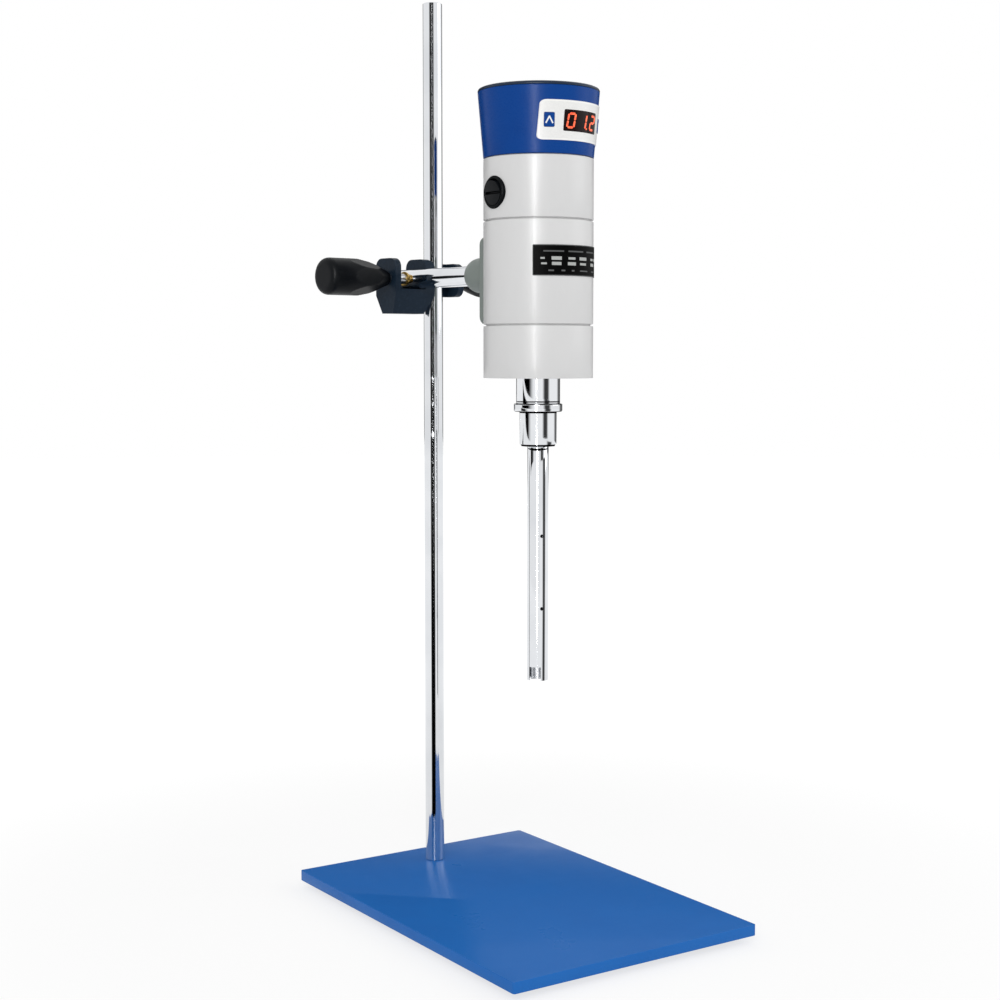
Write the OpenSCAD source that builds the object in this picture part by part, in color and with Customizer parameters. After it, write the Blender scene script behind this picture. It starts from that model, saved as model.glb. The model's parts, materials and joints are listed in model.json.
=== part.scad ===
// Rotor stator homogenizer on a rod stand: painted base plate, round stand rod, two-screw
// clamp, support arm, motor unit with a digital speed display, and a removable dispersing tool.
// Millimetres. +Z is up, -Y is the operator's side (the display faces it), and the origin lies
// on the bench under the centre of the base plate.

/* [Stand] */
// Width of the base plate, left to right
plate_w = 210; // [180:5:260]
// Length of the base plate, front to back
plate_l = 300; // [260:5:360]
// Thickness of the base plate
plate_t = 8; // [7:0.5:12]
// Corner radius of the base plate
plate_corner = 2; // [1:0.5:10]
// Height of a rubber foot
foot_h = 6; // [5:0.5:12]
// Diameter of a rubber foot
foot_d = 19; // [16:1:28]
// Distance from a foot's centre to the two plate edges next to it
foot_inset = 21; // [16:1:40]
// Diameter of the stand rod
rod_d = 15; // [12:0.5:18]
// Length of the stand rod above the plate
rod_l = 678; // [600:5:800]
// Distance from the rod's axis to the plate's back edge
rod_inset = 32.5; // [25:0.5:60]
// Thread diameter of the screw that holds the rod
rod_screw_d = 8; // [6:1:10]

/* [Clamp] */
// Height of the support arm's axis above the plate
arm_height = 465; // [380:5:560]
// Diameter of the support arm
arm_d = 15; // [12:0.5:18]
// Sideways distance between the rod's axis and the arm's axis
arm_offset = 18; // [17:0.5:26]
// Distance along the arm from the rod to the tool's axis
tool_reach = 143; // [135:1:180]
// Length of arm that stands out behind the rod
arm_tail = 34; // [26:1:80]
// Room between a bar's axis and the outer wall of its jaw
jaw_room = 19.5; // [16:0.5:24]
// Thickness of a jaw's outer wall
jaw_wall = 5.5; // [5:0.5:12]
// Length of a jaw along the arm
jaw_l = 25; // [22:1:40]
// How far the jaws reach in front of the rod's axis
jaw_front = 7.5; // [7.5:0.5:12]
// Height of the arm's jaw above the arm's axis
jaw_top = 15.5; // [12:0.5:20]
// Depth of the arm's jaw below the arm's axis
jaw_drop = 27; // [22:0.5:34]
// Height of the rod's jaw
rod_jaw_h = 26; // [22:1:30]
// Thread diameter of a clamp screw
clamp_screw_d = 8; // [6:1:10]
// Diameter of a clamp knob
knob_d = 28; // [24:1:34]
// Length of a clamp knob
knob_l = 59.5; // [48:0.5:70]
// Length of a knob's tapered end
knob_taper = 22; // [18:1:30]
// Thickness of a pressure pad
pad_t = 2; // [1.5:0.1:2]

/* [Motor unit] */
// Diameter of the white body
body_d = 79; // [77:1:96]
// Diameter of the blue head at its top edge
head_top_d = 87.2; // [82:0.2:106]
// Wall thickness of the shells
shell_wall = 2.5; // [2:0.1:3]
// Height of the lower shell
lower_h = 37.8; // [37:0.1:50]
// Height of the middle shell
middle_h = 74; // [73:0.5:95]
// Height of the upper shell
upper_h = 44.4; // [42:0.1:60]
// Height of the blue head
head_h = 46.4; // [44:0.1:60]
// Height of the top lid's rim
lid_rim = 2.6; // [2.5:0.1:8]
// Turn of the motor unit on its saddle, which brings the display round
unit_turn = 5.5; // [-10:0.5:10]
// Height of the arm's axis above the bottom of the body
arm_on_body = 75.5; // [60:0.5:90]
// Height of the saddle plate
saddle_h = 64; // [50:1:72]
// Width of the saddle plate
saddle_w = 38; // [32:1:46]
// Thickness of the saddle plate at its middle
saddle_t = 3.5; // [3:0.1:6]
// Diameter of the arm socket on the saddle plate
socket_d = 26; // [23:0.5:34]
// Length of the straight part of the arm socket
socket_l = 20; // [14:0.5:24]
// Diameter of the motor shaft
motor_shaft_d = 8; // [7:0.5:8]
// Room between the field core and the steps inside the shells
field_room = 1.5; // [1:0.1:2.5]
// Height of the field core and the armature core
core_h = 37; // [30:1:38]
// Diameter of the armature core
armature_d = 39; // [34:0.5:40]
// Diameter of the commutator
commutator_d = 22; // [18:0.5:24]
// Diameter of the cooling fan
fan_d = 50; // [44:1:52]

/* [Controls] */
// Width of the display panel along the head
panel_w = 70; // [68:1:76]
// Height of the display panel
panel_h = 27.2; // [24:0.2:32]
// Height of the panel's middle above the bottom of the blue head
panel_up = 22.4; // [20:0.2:25]
// Width of the display window along the head
window_w = 34; // [30:0.5:36]
// Height of the display window
window_h = 14.6; // [12:0.2:18]
// Width of a push button
button_w = 7.4; // [6:0.2:9]
// Height of a push button
button_h = 9.8; // [7:0.2:11]
// Angle of a push button from the middle of the panel
button_angle = 37.6; // [36.5:0.1:38.5]
// Travel of a push button
button_travel = 0.6; // [0.3:0.1:0.8]
// Diameter of the power switch's bezel
switch_d = 23; // [22:0.5:26]
// Angle of the power switch from the middle of the panel
switch_angle = 100; // [85:0.5:105]
// Tilt of the rocker to either side
rocker_tilt = 8; // [5:1:10]
// Width of the rating plate along the body
rating_w = 74; // [50:1:80]
// Height of the rating plate
rating_h = 21.5; // [12:0.5:26]
// Height of the rating plate's middle above the bottom of the body
rating_up = 82.5; // [60:0.5:96]
// Diameter of the cord's passage through its gland
cord_hole_d = 7; // [6:0.5:8]
// Angle of the cord gland from the middle of the panel
gland_angle = 150; // [130:1:160]

/* [Dispersing tool] */
// Diameter of the neck under the body
neck_d = 31.7; // [30:0.1:36]
// Length of the neck
neck_l = 18.4; // [17:0.1:26]
// Diameter of the lock ring
ring_d = 35; // [33:0.5:42]
// Height of the lock ring
ring_h = 5.8; // [5.4:0.1:9]
// Diameter of the tool's collar
collar_d = 27; // [26:0.1:27.4]
// Length of the tool's collar below the lock ring
collar_l = 25; // [22:0.5:36]
// Outer diameter of the stator tube
tube_d = 15.4; // [15:0.1:18]
// Wall thickness of the stator tube
tube_wall = 1.5; // [1:0.1:1.8]
// Length of the stator tube below the collar
tube_l = 171; // [150:1:220]
// Number of slots in the stator's tip
slots = 2; // [2:2:4]
// Width of a stator slot
slot_w = 8.4; // [6:0.2:9]
// Height of a stator slot
slot_h = 10; // [6:0.5:14]
// Diameter of the cross holes in the tube
cross_hole_d = 2.6; // [1.5:0.1:4]
// Diameter of the tool's drive shaft
drive_d = 6; // [5:0.1:6.4]

/* [Hidden] */
$fn = 96;
eps = 1;                                    // overshoot of a cut past a face

// Fits
run_fit = 0.05;                             // radial clearance of a running fit
part_gap = 0.3;                             // gap between parts that move past each other
seat_gap = 0.1;                             // gap at a face that turns on another

// Heights and places of the stand
plate_top = foot_h + plate_t;
rod_y = plate_l / 2 - rod_inset;
foot_screw_d = 4;
foot_screw_depth = 5;
rod_head_d = rod_screw_d * 1.7;
rod_head_h = rod_screw_d * 0.45;
rod_pocket = rod_head_h + 0.4;
rod_thread = rod_screw_d * 2.5;

// Clamp, in its own frame: rod along Z through the origin, arm along Y at z = 0
swing = atan2(arm_offset, tool_reach);      // swings the tool onto the plate's centre line
flank = 4.5;                                // from a bar's axis to its side of the middle wall
groove = run_fit;                           // clearance of a bar in its groove
jaw_back = jaw_l - jaw_front;
screw_y = jaw_back - jaw_l / 2 - 3;         // arm clamp screw, just in front of its jaw's middle
jaw_round = 7;                              // radius of the jaws' rounded corners
jaw_foot_in = 4;                            // how far the arm jaw's foot draws in at the front
jaw_foot_back = 8;                          // and at the back
jaw_foot_side = 8;                          // and below the rod's jaw
web_gap = 0.5;                              // from a bar to the floor of its jaw
pad_d = clamp_screw_d + 3;
knob_gap = 1.5;                             // from a jaw's wall to the tip of its knob
knob_tip_d = clamp_screw_d + 3;
knob_round = 6;
knob_flats = 6;
knob_facet = 2.3;                           // from the tip's edge out to the flats' start
screw_in_knob = 26;

// Motor unit, in its own frame: tool axis along Z, z = 0 at the bottom of the body
body_r = body_d / 2;
bore_r = body_r - shell_wall;               // inside of the shells
middle_z = lower_h;
upper_z = middle_z + middle_h;
head_z = upper_z + upper_h;
lid_z = head_z + head_h;
seam = 0.5;                                 // chamfer at the seams between shells
floor_t = 5;
step_w = 2.5;                               // width of the steps that hold the brackets
field_d = 2 * (bore_r - step_w - field_room);
bracket_z = 26;
bracket_t = 4;
field_z = 40;
core_top = field_z + core_h;
top_bracket_z = upper_z - 8;
bearing_d = 22;
bearing_h = 7;
bolt_d = 4;
bolt_circle_r = field_d / 2 - 3.5;
bolt_head_d = 6.5;
bolt_head_h = 3;
end_turn_h = 7;
fan_z = 12;
fan_h = 11;
fan_blades = 9;
commutator_h = 14;
commutator_bars = 24;
bar_gap = 0.4;
commutator_z = top_bracket_z - commutator_h - 3;
brush_w = 6;
brush_h = 8;
brush_l = 12;
brush_z = commutator_z + commutator_h / 2;
brush_wall = 1;
brush_in = commutator_d / 2 + part_gap;
holder_in = brush_in + 2;
holder_out = bore_r - 3.5;
armature_slots = 12;
coil_w = 7;
coil_angle = 30;                            // half the angle that a coil spans
coil_r = armature_d / 2 + 3;

// Blue head
head_lean = atan2((head_top_d - body_d) / 2, head_h);
function head_r(z) = body_r + (head_top_d - body_d) / 2 * (z - head_z) / head_h;
panel_z = head_z + panel_up;
panel_r = head_r(panel_z);
panel_t = 0.6;
panel_corner = 3;
window_t = 2;
window_gap = 0.05;
board_y = panel_r - 14.5;                   // distance of the board's face from the axis
board_t = 1.6;
board_w = 46;
display_depth = 8.2;
ledge_t = 2.5;
ledge_w = 8;
bracket_sheet = 2;
board_h = 2 * (panel_up - ledge_t - bracket_sheet - part_gap);
button_depth = 3.8;
button_out = 0.9;
button_fit = 0.15;

// Power switch and cord gland
switch_z = upper_z + 18.7;
switch_barrel_r = switch_d / 2 - 1.5;
switch_out = 1.2;
switch_depth = 20;
rocker_r = switch_barrel_r - 1.4;
rocker_room = 0.7;                          // gap round the rocker
rocker_deep = 7;
pivot_in = 3.2;                             // pivot below the bezel's face
pivot_d = 2;
gland_z = upper_z + 34;
gland_r = cord_hole_d / 2 + 2.5;
gland_flange_r = gland_r + 2.5;
gland_out = 12;

// Neck and dispersing tool
thread_r = ring_d / 2 - 3;                  // union thread of the lock ring
thread_l = 2.1;
lip_h = 2;
shoulder_h = 1.5;
collar_r = collar_d / 2;
collar_round = 1.5;
spigot_r = 11;
spigot_l = 12.5;
flange_r = 24;
flange_t = 3.5;
neck_bolt_r = 19.8;
ring_z = -neck_l;
collar_top = ring_z - thread_l;
collar_z = ring_z - ring_h;
collar_bottom = collar_z - collar_l;
tube_r = tube_d / 2;
tube_in = 14;
tip_z = collar_bottom - tube_l;
tube_bore = tube_r - tube_wall;
slot_angle = 25.5;
cross_hole_angle = -25.5;
cross_hole_rises = [0.31, 0.62];            // shares of the tube's length above its tip
bush_rises = [0.16, 0.5, 0.9];
socket_r = 7;
socket_top = bearing_h - 5.5;
socket_h = 17;
square = 4;
square_fit = 0.15;
tongue_l = 9;
bush_h = 8;
blade_gap = 0.3;
blade_h = 13;
seal_h = 4;

// Colours
paint_blue = [0.10, 0.33, 0.66];
head_blue = [0.08, 0.29, 0.58];
body_white = [0.88, 0.88, 0.87];
chrome = [0.82, 0.83, 0.85];
steel = [0.62, 0.64, 0.66];
cast_navy = [0.11, 0.16, 0.23];
black = [0.07, 0.08, 0.09];
socket_grey = [0.55, 0.58, 0.56];
panel_white = [0.90, 0.89, 0.87];
copper = [0.72, 0.40, 0.20];
brass = [0.78, 0.62, 0.28];
board_green = [0.08, 0.36, 0.20];
nylon = [0.92, 0.90, 0.82];

// ---------- placement ----------
module at_plate() translate([0, 0, foot_h]) children();
module at_clamp() translate([0, rod_y, plate_top + arm_height]) rotate([0, 0, swing]) children();
module at_arm() at_clamp() translate([-arm_offset, 0, 0]) children();
module at_saddle() at_arm() translate([0, -tool_reach, -arm_on_body]) children();
module at_unit() at_saddle() rotate([0, 0, unit_turn]) children();
// Local Z points out of the body at an angle from the panel's middle; local Y points up
module facing(angle, z) translate([0, 0, z]) rotate([0, 0, angle]) rotate([90, 0, 0]) children();
// As facing, but square to the leaning wall of the head, with z = 0 on its surface
module on_head(angle, z)
    facing(angle, z) translate([0, 0, head_r(z)]) rotate([head_lean, 0, 0]) children();

// ---------- shapes that repeat ----------
module tube(r_out, r_in, h)
    difference() {
        cylinder(r = r_out, h = h);
        translate([0, 0, -eps]) cylinder(r = r_in, h = h + 2 * eps);
    }

module rounded_rect(w, l, r) {
    square([w - 2 * r, l], center = true);
    square([w, l - 2 * r], center = true);
    for (sx = [-1, 1], sy = [-1, 1])
        translate([sx * (w / 2 - r), sy * (l / 2 - r)]) circle(r = r);
}

// A shell's outside: a drum with chamfered ends
module drum(r, h, c) {
    translate([0, 0, c]) cylinder(r = r, h = h - 2 * c);
    cylinder(r1 = r - c, r2 = r, h = c);
    translate([0, 0, h - c]) cylinder(r1 = r, r2 = r - c, h = c);
}

// Pan-head screw, its head above z = 0 and its shank below
module pan_screw(d, l, head_d, head_h) {
    translate([0, 0, -l]) cylinder(d = d, h = l);
    difference() {
        union() {
            cylinder(d = head_d, h = head_h * 0.6);
            translate([0, 0, head_h * 0.6]) cylinder(d1 = head_d, d2 = head_d * 0.7, h = head_h * 0.4);
        }
        for (turn = [0, 90])
            rotate([0, 0, turn]) translate([0, 0, head_h])
                cube([head_d * 0.55, head_d * 0.14, head_h], center = true);
    }
}

// Ball bearing: two rings and its balls, as one cartridge
module ball_bearing(d_out, d_in, h) {
    shield = 0.5;
    difference() {
        tube(d_out / 2, d_in / 2, h);
        for (z = [-eps, h - shield])
            translate([0, 0, z]) tube(d_out / 2 - 2, d_in / 2 + 2, shield + eps);
    }
}

// Wire wound as a helix round Z: points on a sweep with a round section
module coil_spring(r, wire, turns, l) {
    steps = 14;
    sides = 6;
    count = turns * steps;
    points = [
        for (i = [0:count], k = [0:sides - 1])
            let (a = 360 * i / steps, b = 360 * k / sides, q = r + wire / 2 * cos(b))
            [q * cos(a), q * sin(a), wire / 2 + (l - wire) * i / count + wire / 2 * sin(b)]
    ];
    start = [for (k = [0:sides - 1]) k];
    end = [for (k = [sides - 1:-1:0]) count * sides + k];
    walls = [
        for (i = [0:count - 1], k = [0:sides - 1])
            let (a = i * sides + k, b = i * sides + (k + 1) % sides)
            each [[a, a + sides, b + sides], [a, b + sides, b]]
    ];
    polyhedron(points, concat([start], [end], walls));
}

// ---------- stand ----------
module foot_places()
    for (sx = [-1, 1], sy = [-1, 1])
        translate([sx * (plate_w / 2 - foot_inset), sy * (plate_l / 2 - foot_inset), 0]) children();

module base_plate()
    color(paint_blue) at_plate() difference() {
        linear_extrude(plate_t) rounded_rect(plate_w, plate_l, plate_corner);
        foot_places() translate([0, 0, -eps]) cylinder(d = foot_screw_d, h = foot_screw_depth + eps);
        translate([0, rod_y, -eps]) {
            cylinder(r = rod_screw_d / 2 + run_fit, h = plate_t + 2 * eps);
            cylinder(d = rod_head_d + 2 * part_gap, h = rod_pocket + eps);
        }
    }

module rubber_feet()
    color(black) foot_places() difference() {
        union() {
            cylinder(d1 = foot_d - 4, d2 = foot_d, h = foot_h / 3);
            translate([0, 0, foot_h / 3]) cylinder(d = foot_d, h = foot_h * 2 / 3);
        }
        translate([0, 0, -eps]) cylinder(d = foot_screw_d, h = foot_h + 2 * eps);
        translate([0, 0, -eps]) cylinder(d = foot_d * 0.5, h = foot_h * 0.6 + eps);
    }

module foot_screws()
    color(steel) foot_places() translate([0, 0, foot_h * 0.6]) mirror([0, 0, 1])
        pan_screw(foot_screw_d, foot_h * 0.4 + foot_screw_depth, foot_d * 0.42, foot_h * 0.4);

module stand_rod()
    color(chrome) translate([0, rod_y, plate_top + seat_gap]) difference() {
        union() {
            cylinder(d = rod_d, h = rod_l - seat_gap - 0.5);
            translate([0, 0, rod_l - seat_gap - 0.5]) cylinder(d1 = rod_d, d2 = rod_d - 1, h = 0.5);
        }
        translate([0, 0, -eps]) cylinder(d = rod_screw_d, h = rod_thread + eps);
    }

module rod_screw()
    color(steel) translate([0, rod_y, foot_h + rod_pocket - rod_head_h - seat_gap]) difference() {
        union() {
            cylinder(d = rod_head_d, h = rod_head_h);
            cylinder(d = rod_screw_d, h = rod_head_h + plate_t - rod_pocket + seat_gap * 2 + rod_thread - 2);
        }
        translate([0, 0, -eps]) cylinder(d = rod_screw_d * 0.7, h = rod_head_h * 0.7 + eps, $fn = 6);
    }

// ---------- clamp ----------
// Side view of a jaw's block, as (y, z), with two rounded corners at z = up
module jaw_outline(z0, z1, up) {
    inner = up == z1 ? z1 - jaw_round : z0 + jaw_round;
    for (y = [-jaw_front + jaw_round, jaw_back - jaw_round]) translate([y, inner]) circle(r = jaw_round);
    translate([-jaw_front + jaw_round, z0]) square([jaw_l - 2 * jaw_round, z1 - z0]);
    translate([-jaw_front, up == z1 ? z0 : inner]) square([jaw_l, z1 - z0 - jaw_round]);
}

// Side view of the arm's jaw: rounded above, and a foot that narrows downwards
module arm_jaw_profile() {
    shoulder = -rod_jaw_h / 2;
    jaw_outline(shoulder, jaw_top, jaw_top);
    polygon([
        [-jaw_front, shoulder + eps], [-jaw_front, shoulder], [-jaw_front + jaw_foot_in, -jaw_drop],
        [jaw_back - jaw_foot_back, -jaw_drop], [jaw_back, shoulder], [jaw_back, shoulder + eps]
    ]);
}

// Side view of the rod's jaw: rounded above and below
module rod_jaw_profile() {
    jaw_outline(0, rod_jaw_h / 2, rod_jaw_h / 2);
    jaw_outline(-rod_jaw_h / 2, 0, -rod_jaw_h / 2);
}

// Extrudes a (y, z) outline along X from x0 to x1
module across(x0, x1) translate([x0, 0, 0]) rotate([90, 0, 90]) linear_extrude(x1 - x0) children();

module clamp_casting() {
    arm_out = -arm_offset - jaw_room;
    wall_arm_side = -arm_offset + flank;
    web_top = -arm_d / 2 - web_gap;
    web_front = rod_d / 2 + web_gap;
    reach = jaw_l * 3;
    color(cast_navy) at_clamp() difference() {
        union() {
            across(arm_out - jaw_wall, -flank) arm_jaw_profile();
            across(wall_arm_side, jaw_room + jaw_wall) rod_jaw_profile();
        }
        // the arm's jaw, open upwards
        translate([arm_out, -reach, web_top])
            cube([wall_arm_side - arm_out, 2 * reach, jaw_top - web_top + eps]);
        // the rod's jaw, open to the front
        translate([-flank, -reach, -reach]) cube([flank + jaw_room, reach + web_front, 2 * reach]);
        translate([-arm_offset, -reach, 0]) rotate([-90, 0, 0])
            cylinder(r = arm_d / 2 + groove, h = 2 * reach);
        translate([0, 0, -reach]) cylinder(r = rod_d / 2 + groove, h = 2 * reach);
        // the foot's slanted side under the rod's jaw
        translate([-flank, 0, -rod_jaw_h / 2])
            rotate([0, atan2(jaw_foot_side, jaw_drop - rod_jaw_h / 2), 0])
                translate([0, -reach / 2, -reach]) cube([reach, reach, reach]);
        translate([arm_out + eps, screw_y, 0]) rotate([0, -90, 0])
            cylinder(r = clamp_screw_d / 2 + run_fit, h = jaw_wall + 2 * eps);
        translate([jaw_room - eps, 0, 0]) rotate([0, 90, 0])
            cylinder(r = clamp_screw_d / 2 + run_fit, h = jaw_wall + 2 * eps);
    }
}

// A clamp's pieces lie along +Z, with z = 0 on the surface of the bar that they press
module at_arm_screw()
    at_clamp() translate([-arm_offset - arm_d / 2, screw_y, 0]) rotate([0, -90, 0]) children();
module at_rod_screw()
    at_clamp() translate([rod_d / 2, 0, 0]) rotate([0, 90, 0]) children();

module pressure_pad()
    translate([0, 0, seat_gap]) difference() {
        union() {
            cylinder(d = pad_d - 1, h = pad_t / 2);
            translate([0, 0, pad_t / 2]) cylinder(d = pad_d, h = pad_t / 2);
        }
        translate([0, 0, pad_t / 2]) cylinder(r = clamp_screw_d / 4 + run_fit, h = pad_t);
    }

module clamp_screw(bar_d)
    color(steel) {
        wall_far = jaw_room - bar_d / 2 + jaw_wall;
        translate([0, 0, pad_t + 2 * seat_gap])
            cylinder(d = clamp_screw_d, h = wall_far + knob_gap + screw_in_knob - pad_t - 2 * seat_gap);
        translate([0, 0, pad_t / 2 + 2 * seat_gap]) cylinder(d = clamp_screw_d / 2, h = pad_t / 2 + eps);
    }

module clamp_knob(bar_d) {
    tip = jaw_room - bar_d / 2 + jaw_wall + knob_gap;
    r = knob_d / 2;
    tip_r = knob_tip_d / 2;
    facet_l = knob_l * 0.66;
    facet_in = tip_r + knob_facet;
    lean = atan2(r - facet_in, facet_l);
    color(black) translate([0, 0, tip]) difference() {
        rotate_extrude() polygon([
            [0, 0], [tip_r, 0], [r, knob_taper], [r, knob_l - knob_round],
            for (a = [15:15:75])
                [r - knob_round + knob_round * cos(a), knob_l - knob_round + knob_round * sin(a)],
            [r - knob_round, knob_l], [0, knob_l]
        ]);
        for (k = [0:knob_flats - 1])
            rotate([0, 0, (k + 0.5) * 360 / knob_flats]) translate([facet_in, 0, 0]) rotate([0, lean, 0])
                translate([0, -r, -r]) cube([r, 2 * r, knob_l + r]);
        translate([0, 0, -eps]) cylinder(d = clamp_screw_d, h = screw_in_knob + eps);
    }
}

module arm_pad() color(brass) at_arm_screw() pressure_pad();
module arm_clamp_screw() at_arm_screw() clamp_screw(arm_d);
module arm_clamp_knob() at_arm_screw() clamp_knob(arm_d);
module rod_pad() color(brass) at_rod_screw() pressure_pad();
module rod_clamp_screw() at_rod_screw() clamp_screw(rod_d);
module rod_clamp_knob() at_rod_screw() clamp_knob(rod_d);

// ---------- support arm and its socket ----------
socket_back = body_r + saddle_t;            // back face of the saddle plate, from the tool's axis
arm_end = socket_back + 2;                  // inner end of the arm
arm_chamfer = 1;

module support_arm()
    color(chrome) at_arm() translate([0, arm_tail, 0]) rotate([90, 0, 0]) {
        l = tool_reach - arm_end + arm_tail;
        cylinder(d1 = arm_d - 2 * arm_chamfer, d2 = arm_d, h = arm_chamfer);
        translate([0, 0, arm_chamfer]) cylinder(d = arm_d, h = l - arm_chamfer);
    }

module arm_socket()
    color(socket_grey) at_saddle() translate([0, socket_back, arm_on_body]) rotate([-90, 0, 0])
        difference() {
            union() {
                cylinder(d = socket_d, h = socket_l);
                translate([0, 0, socket_l]) difference() {
                    sphere(d = socket_d);
                    translate([0, 0, -socket_d]) cylinder(d = 2 * socket_d, h = socket_d);
                }
            }
            translate([0, 0, arm_end - socket_back - part_gap])
                cylinder(r = arm_d / 2 + run_fit, h = socket_l + socket_d);
        }

saddle_down = 5;                            // middle of the saddle plate below the arm
saddle_z = arm_on_body - saddle_down;
saddle_screw_d = 4;
saddle_screw_rise = saddle_h / 2 - 9;

module saddle_screw_places()
    for (rise = [-1, 1])
        translate([0, socket_back, saddle_z + rise * saddle_screw_rise]) rotate([-90, 0, 0]) children();

module saddle_plate()
    color(socket_grey) at_saddle() difference() {
        translate([0, socket_back, saddle_z]) rotate([90, 0, 0])
            linear_extrude(socket_back - body_r / 2) rounded_rect(saddle_w, saddle_h, 6);
        cylinder(r = body_r, h = head_z);
        saddle_screw_places() translate([0, 0, -saddle_t - eps])
            cylinder(d = saddle_screw_d, h = saddle_t + 2 * eps);
    }

module saddle_screws()
    color(steel) at_saddle() saddle_screw_places()
        pan_screw(saddle_screw_d, saddle_t + shell_wall, saddle_screw_d * 1.9, saddle_screw_d * 0.7);

// ---------- shells of the motor unit ----------
module lower_shell()
    color(body_white) at_unit() difference() {
        drum(body_r, lower_h, seam);
        translate([0, 0, floor_t]) cylinder(r = bore_r - step_w, h = lower_h);
        translate([0, 0, bracket_z]) cylinder(r = bore_r, h = lower_h);
        translate([0, 0, -eps]) cylinder(d = neck_d, h = floor_t + 2 * eps);
        neck_screw_places() translate([0, 0, -flange_t - floor_t + 1])
            cylinder(d = bolt_d, h = floor_t + flange_t);
    }

module middle_shell()
    color(body_white) at_unit() difference() {
        translate([0, 0, middle_z]) drum(body_r, middle_h, seam);
        translate([0, 0, middle_z - eps])
            cylinder(r = bore_r, h = top_bracket_z + bracket_t - middle_z + eps);
        cylinder(r = bore_r - step_w, h = upper_z + eps);
        rotate([0, 0, -unit_turn]) saddle_screw_places() translate([0, 0, -saddle_t - shell_wall - eps])
            cylinder(d = saddle_screw_d, h = saddle_t + shell_wall + 2 * eps);
    }

module upper_shell()
    color(body_white) at_unit() difference() {
        translate([0, 0, upper_z]) drum(body_r, upper_h, seam);
        translate([0, 0, upper_z - eps]) cylinder(r = bore_r, h = upper_h + 2 * eps);
        facing(-switch_angle, switch_z) cylinder(r = switch_barrel_r, h = body_d);
        facing(gland_angle, gland_z) cylinder(r = gland_r, h = body_d);
    }

// Wall of the blue head, from inset to outset of its outer surface
module head_wall(outset, inset) {
    r0 = head_r(head_z);
    r1 = head_r(lid_z);
    difference() {
        translate([0, 0, head_z]) cylinder(r1 = r0 + outset, r2 = r1 + outset, h = head_h);
        translate([0, 0, head_z - head_h])
            cylinder(r1 = 2 * r0 - r1 - inset, r2 = 2 * r1 - r0 - inset, h = 3 * head_h);
    }
}

// Half width, seen from the front, of a width measured along the head's surface
function chord(w) = panel_r * sin(w / 2 / panel_r * 180 / PI);

// Prism that cuts a window-shaped piece out of the head's wall
module front_prism(w, h, r)
    facing(0, panel_z) linear_extrude(head_top_d) rounded_rect(2 * chord(w), h, r);

module button_prism(side, grow)
    on_head(side * button_angle, panel_z) translate([0, 0, -button_depth - 2 * grow])
        linear_extrude(button_depth * 2 + 4 * grow)
            rounded_rect(button_w + 2 * grow, button_h + 2 * grow, 0.8);

module head_shell()
    color(head_blue) at_unit() difference() {
        union() {
            head_wall(0, shell_wall);
            translate([0, 0, head_z]) tube(bore_r + seam, bore_r - ledge_w, ledge_t);
        }
        front_prism(window_w + 2 * window_gap, window_h + 2 * window_gap, 1);
        for (side = [-1, 1]) button_prism(side, button_fit);
    }

module top_lid()
    color(black) at_unit() translate([0, 0, lid_z]) {
        r = head_r(lid_z);
        rotate_extrude() polygon([
            [0, 0], [r - 0.3, 0], [r, 0.3], [r, lid_rim - 1.8], [r - 0.6, lid_rim - 0.7],
            [r - 2.2, lid_rim], [r * 0.6, lid_rim + 0.9], [0, lid_rim + 1.3]
        ]);
        translate([0, 0, -3]) tube(r - shell_wall - 0.8, r - shell_wall - 3, 3);
    }

// ---------- controls ----------
module display_panel()
    color(panel_white) at_unit() difference() {
        intersection() {
            head_wall(panel_t, 0);
            front_prism(panel_w, panel_h, panel_corner);
        }
        front_prism(window_w + 2 * window_gap, window_h + 2 * window_gap, 1);
        for (side = [-1, 1]) button_prism(side, button_fit);
    }

module display_window()
    color([0.10, 0.03, 0.03, 0.8]) at_unit() intersection() {
        head_wall(panel_t, window_t);
        front_prism(window_w, window_h, 1);
    }

module display_module()
    color([0.16, 0.16, 0.17]) at_unit() translate([0, -board_y - display_depth / 2, panel_z])
        cube([2 * chord(window_w) - 2, display_depth, window_h - 1.6], center = true);

module control_board()
    color(board_green) at_unit() {
        translate([0, -board_y + board_t / 2, panel_z]) cube([board_w, board_t, board_h], center = true);
        for (side = [-1, 1])
            translate([side * (board_w / 2 - 4), -board_y - 0.8, panel_z]) cube([6, 1.6, 6], center = true);
    }

module board_bracket()
    color(steel) at_unit() {
        back = -board_y + board_t;
        foot_z = head_z + ledge_t;
        translate([-board_w / 2 + 4, back, foot_z]) cube([board_w - 8, bracket_sheet, board_h - 4]);
        translate([-board_w / 4, -bore_r + ledge_w / 2, foot_z])
            cube([board_w / 2, bore_r - ledge_w / 2 + back + bracket_sheet, bracket_sheet]);
    }

module push_button(side)
    color(head_blue) at_unit() on_head(side * button_angle, panel_z) {
        translate([0, 0, -button_depth]) linear_extrude(button_depth + button_out)
            rounded_rect(button_w, button_h, 0.8);
    }

module up_button() push_button(-1);
module down_button() push_button(1);

module at_switch() at_unit() facing(-switch_angle, switch_z) children();

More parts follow.
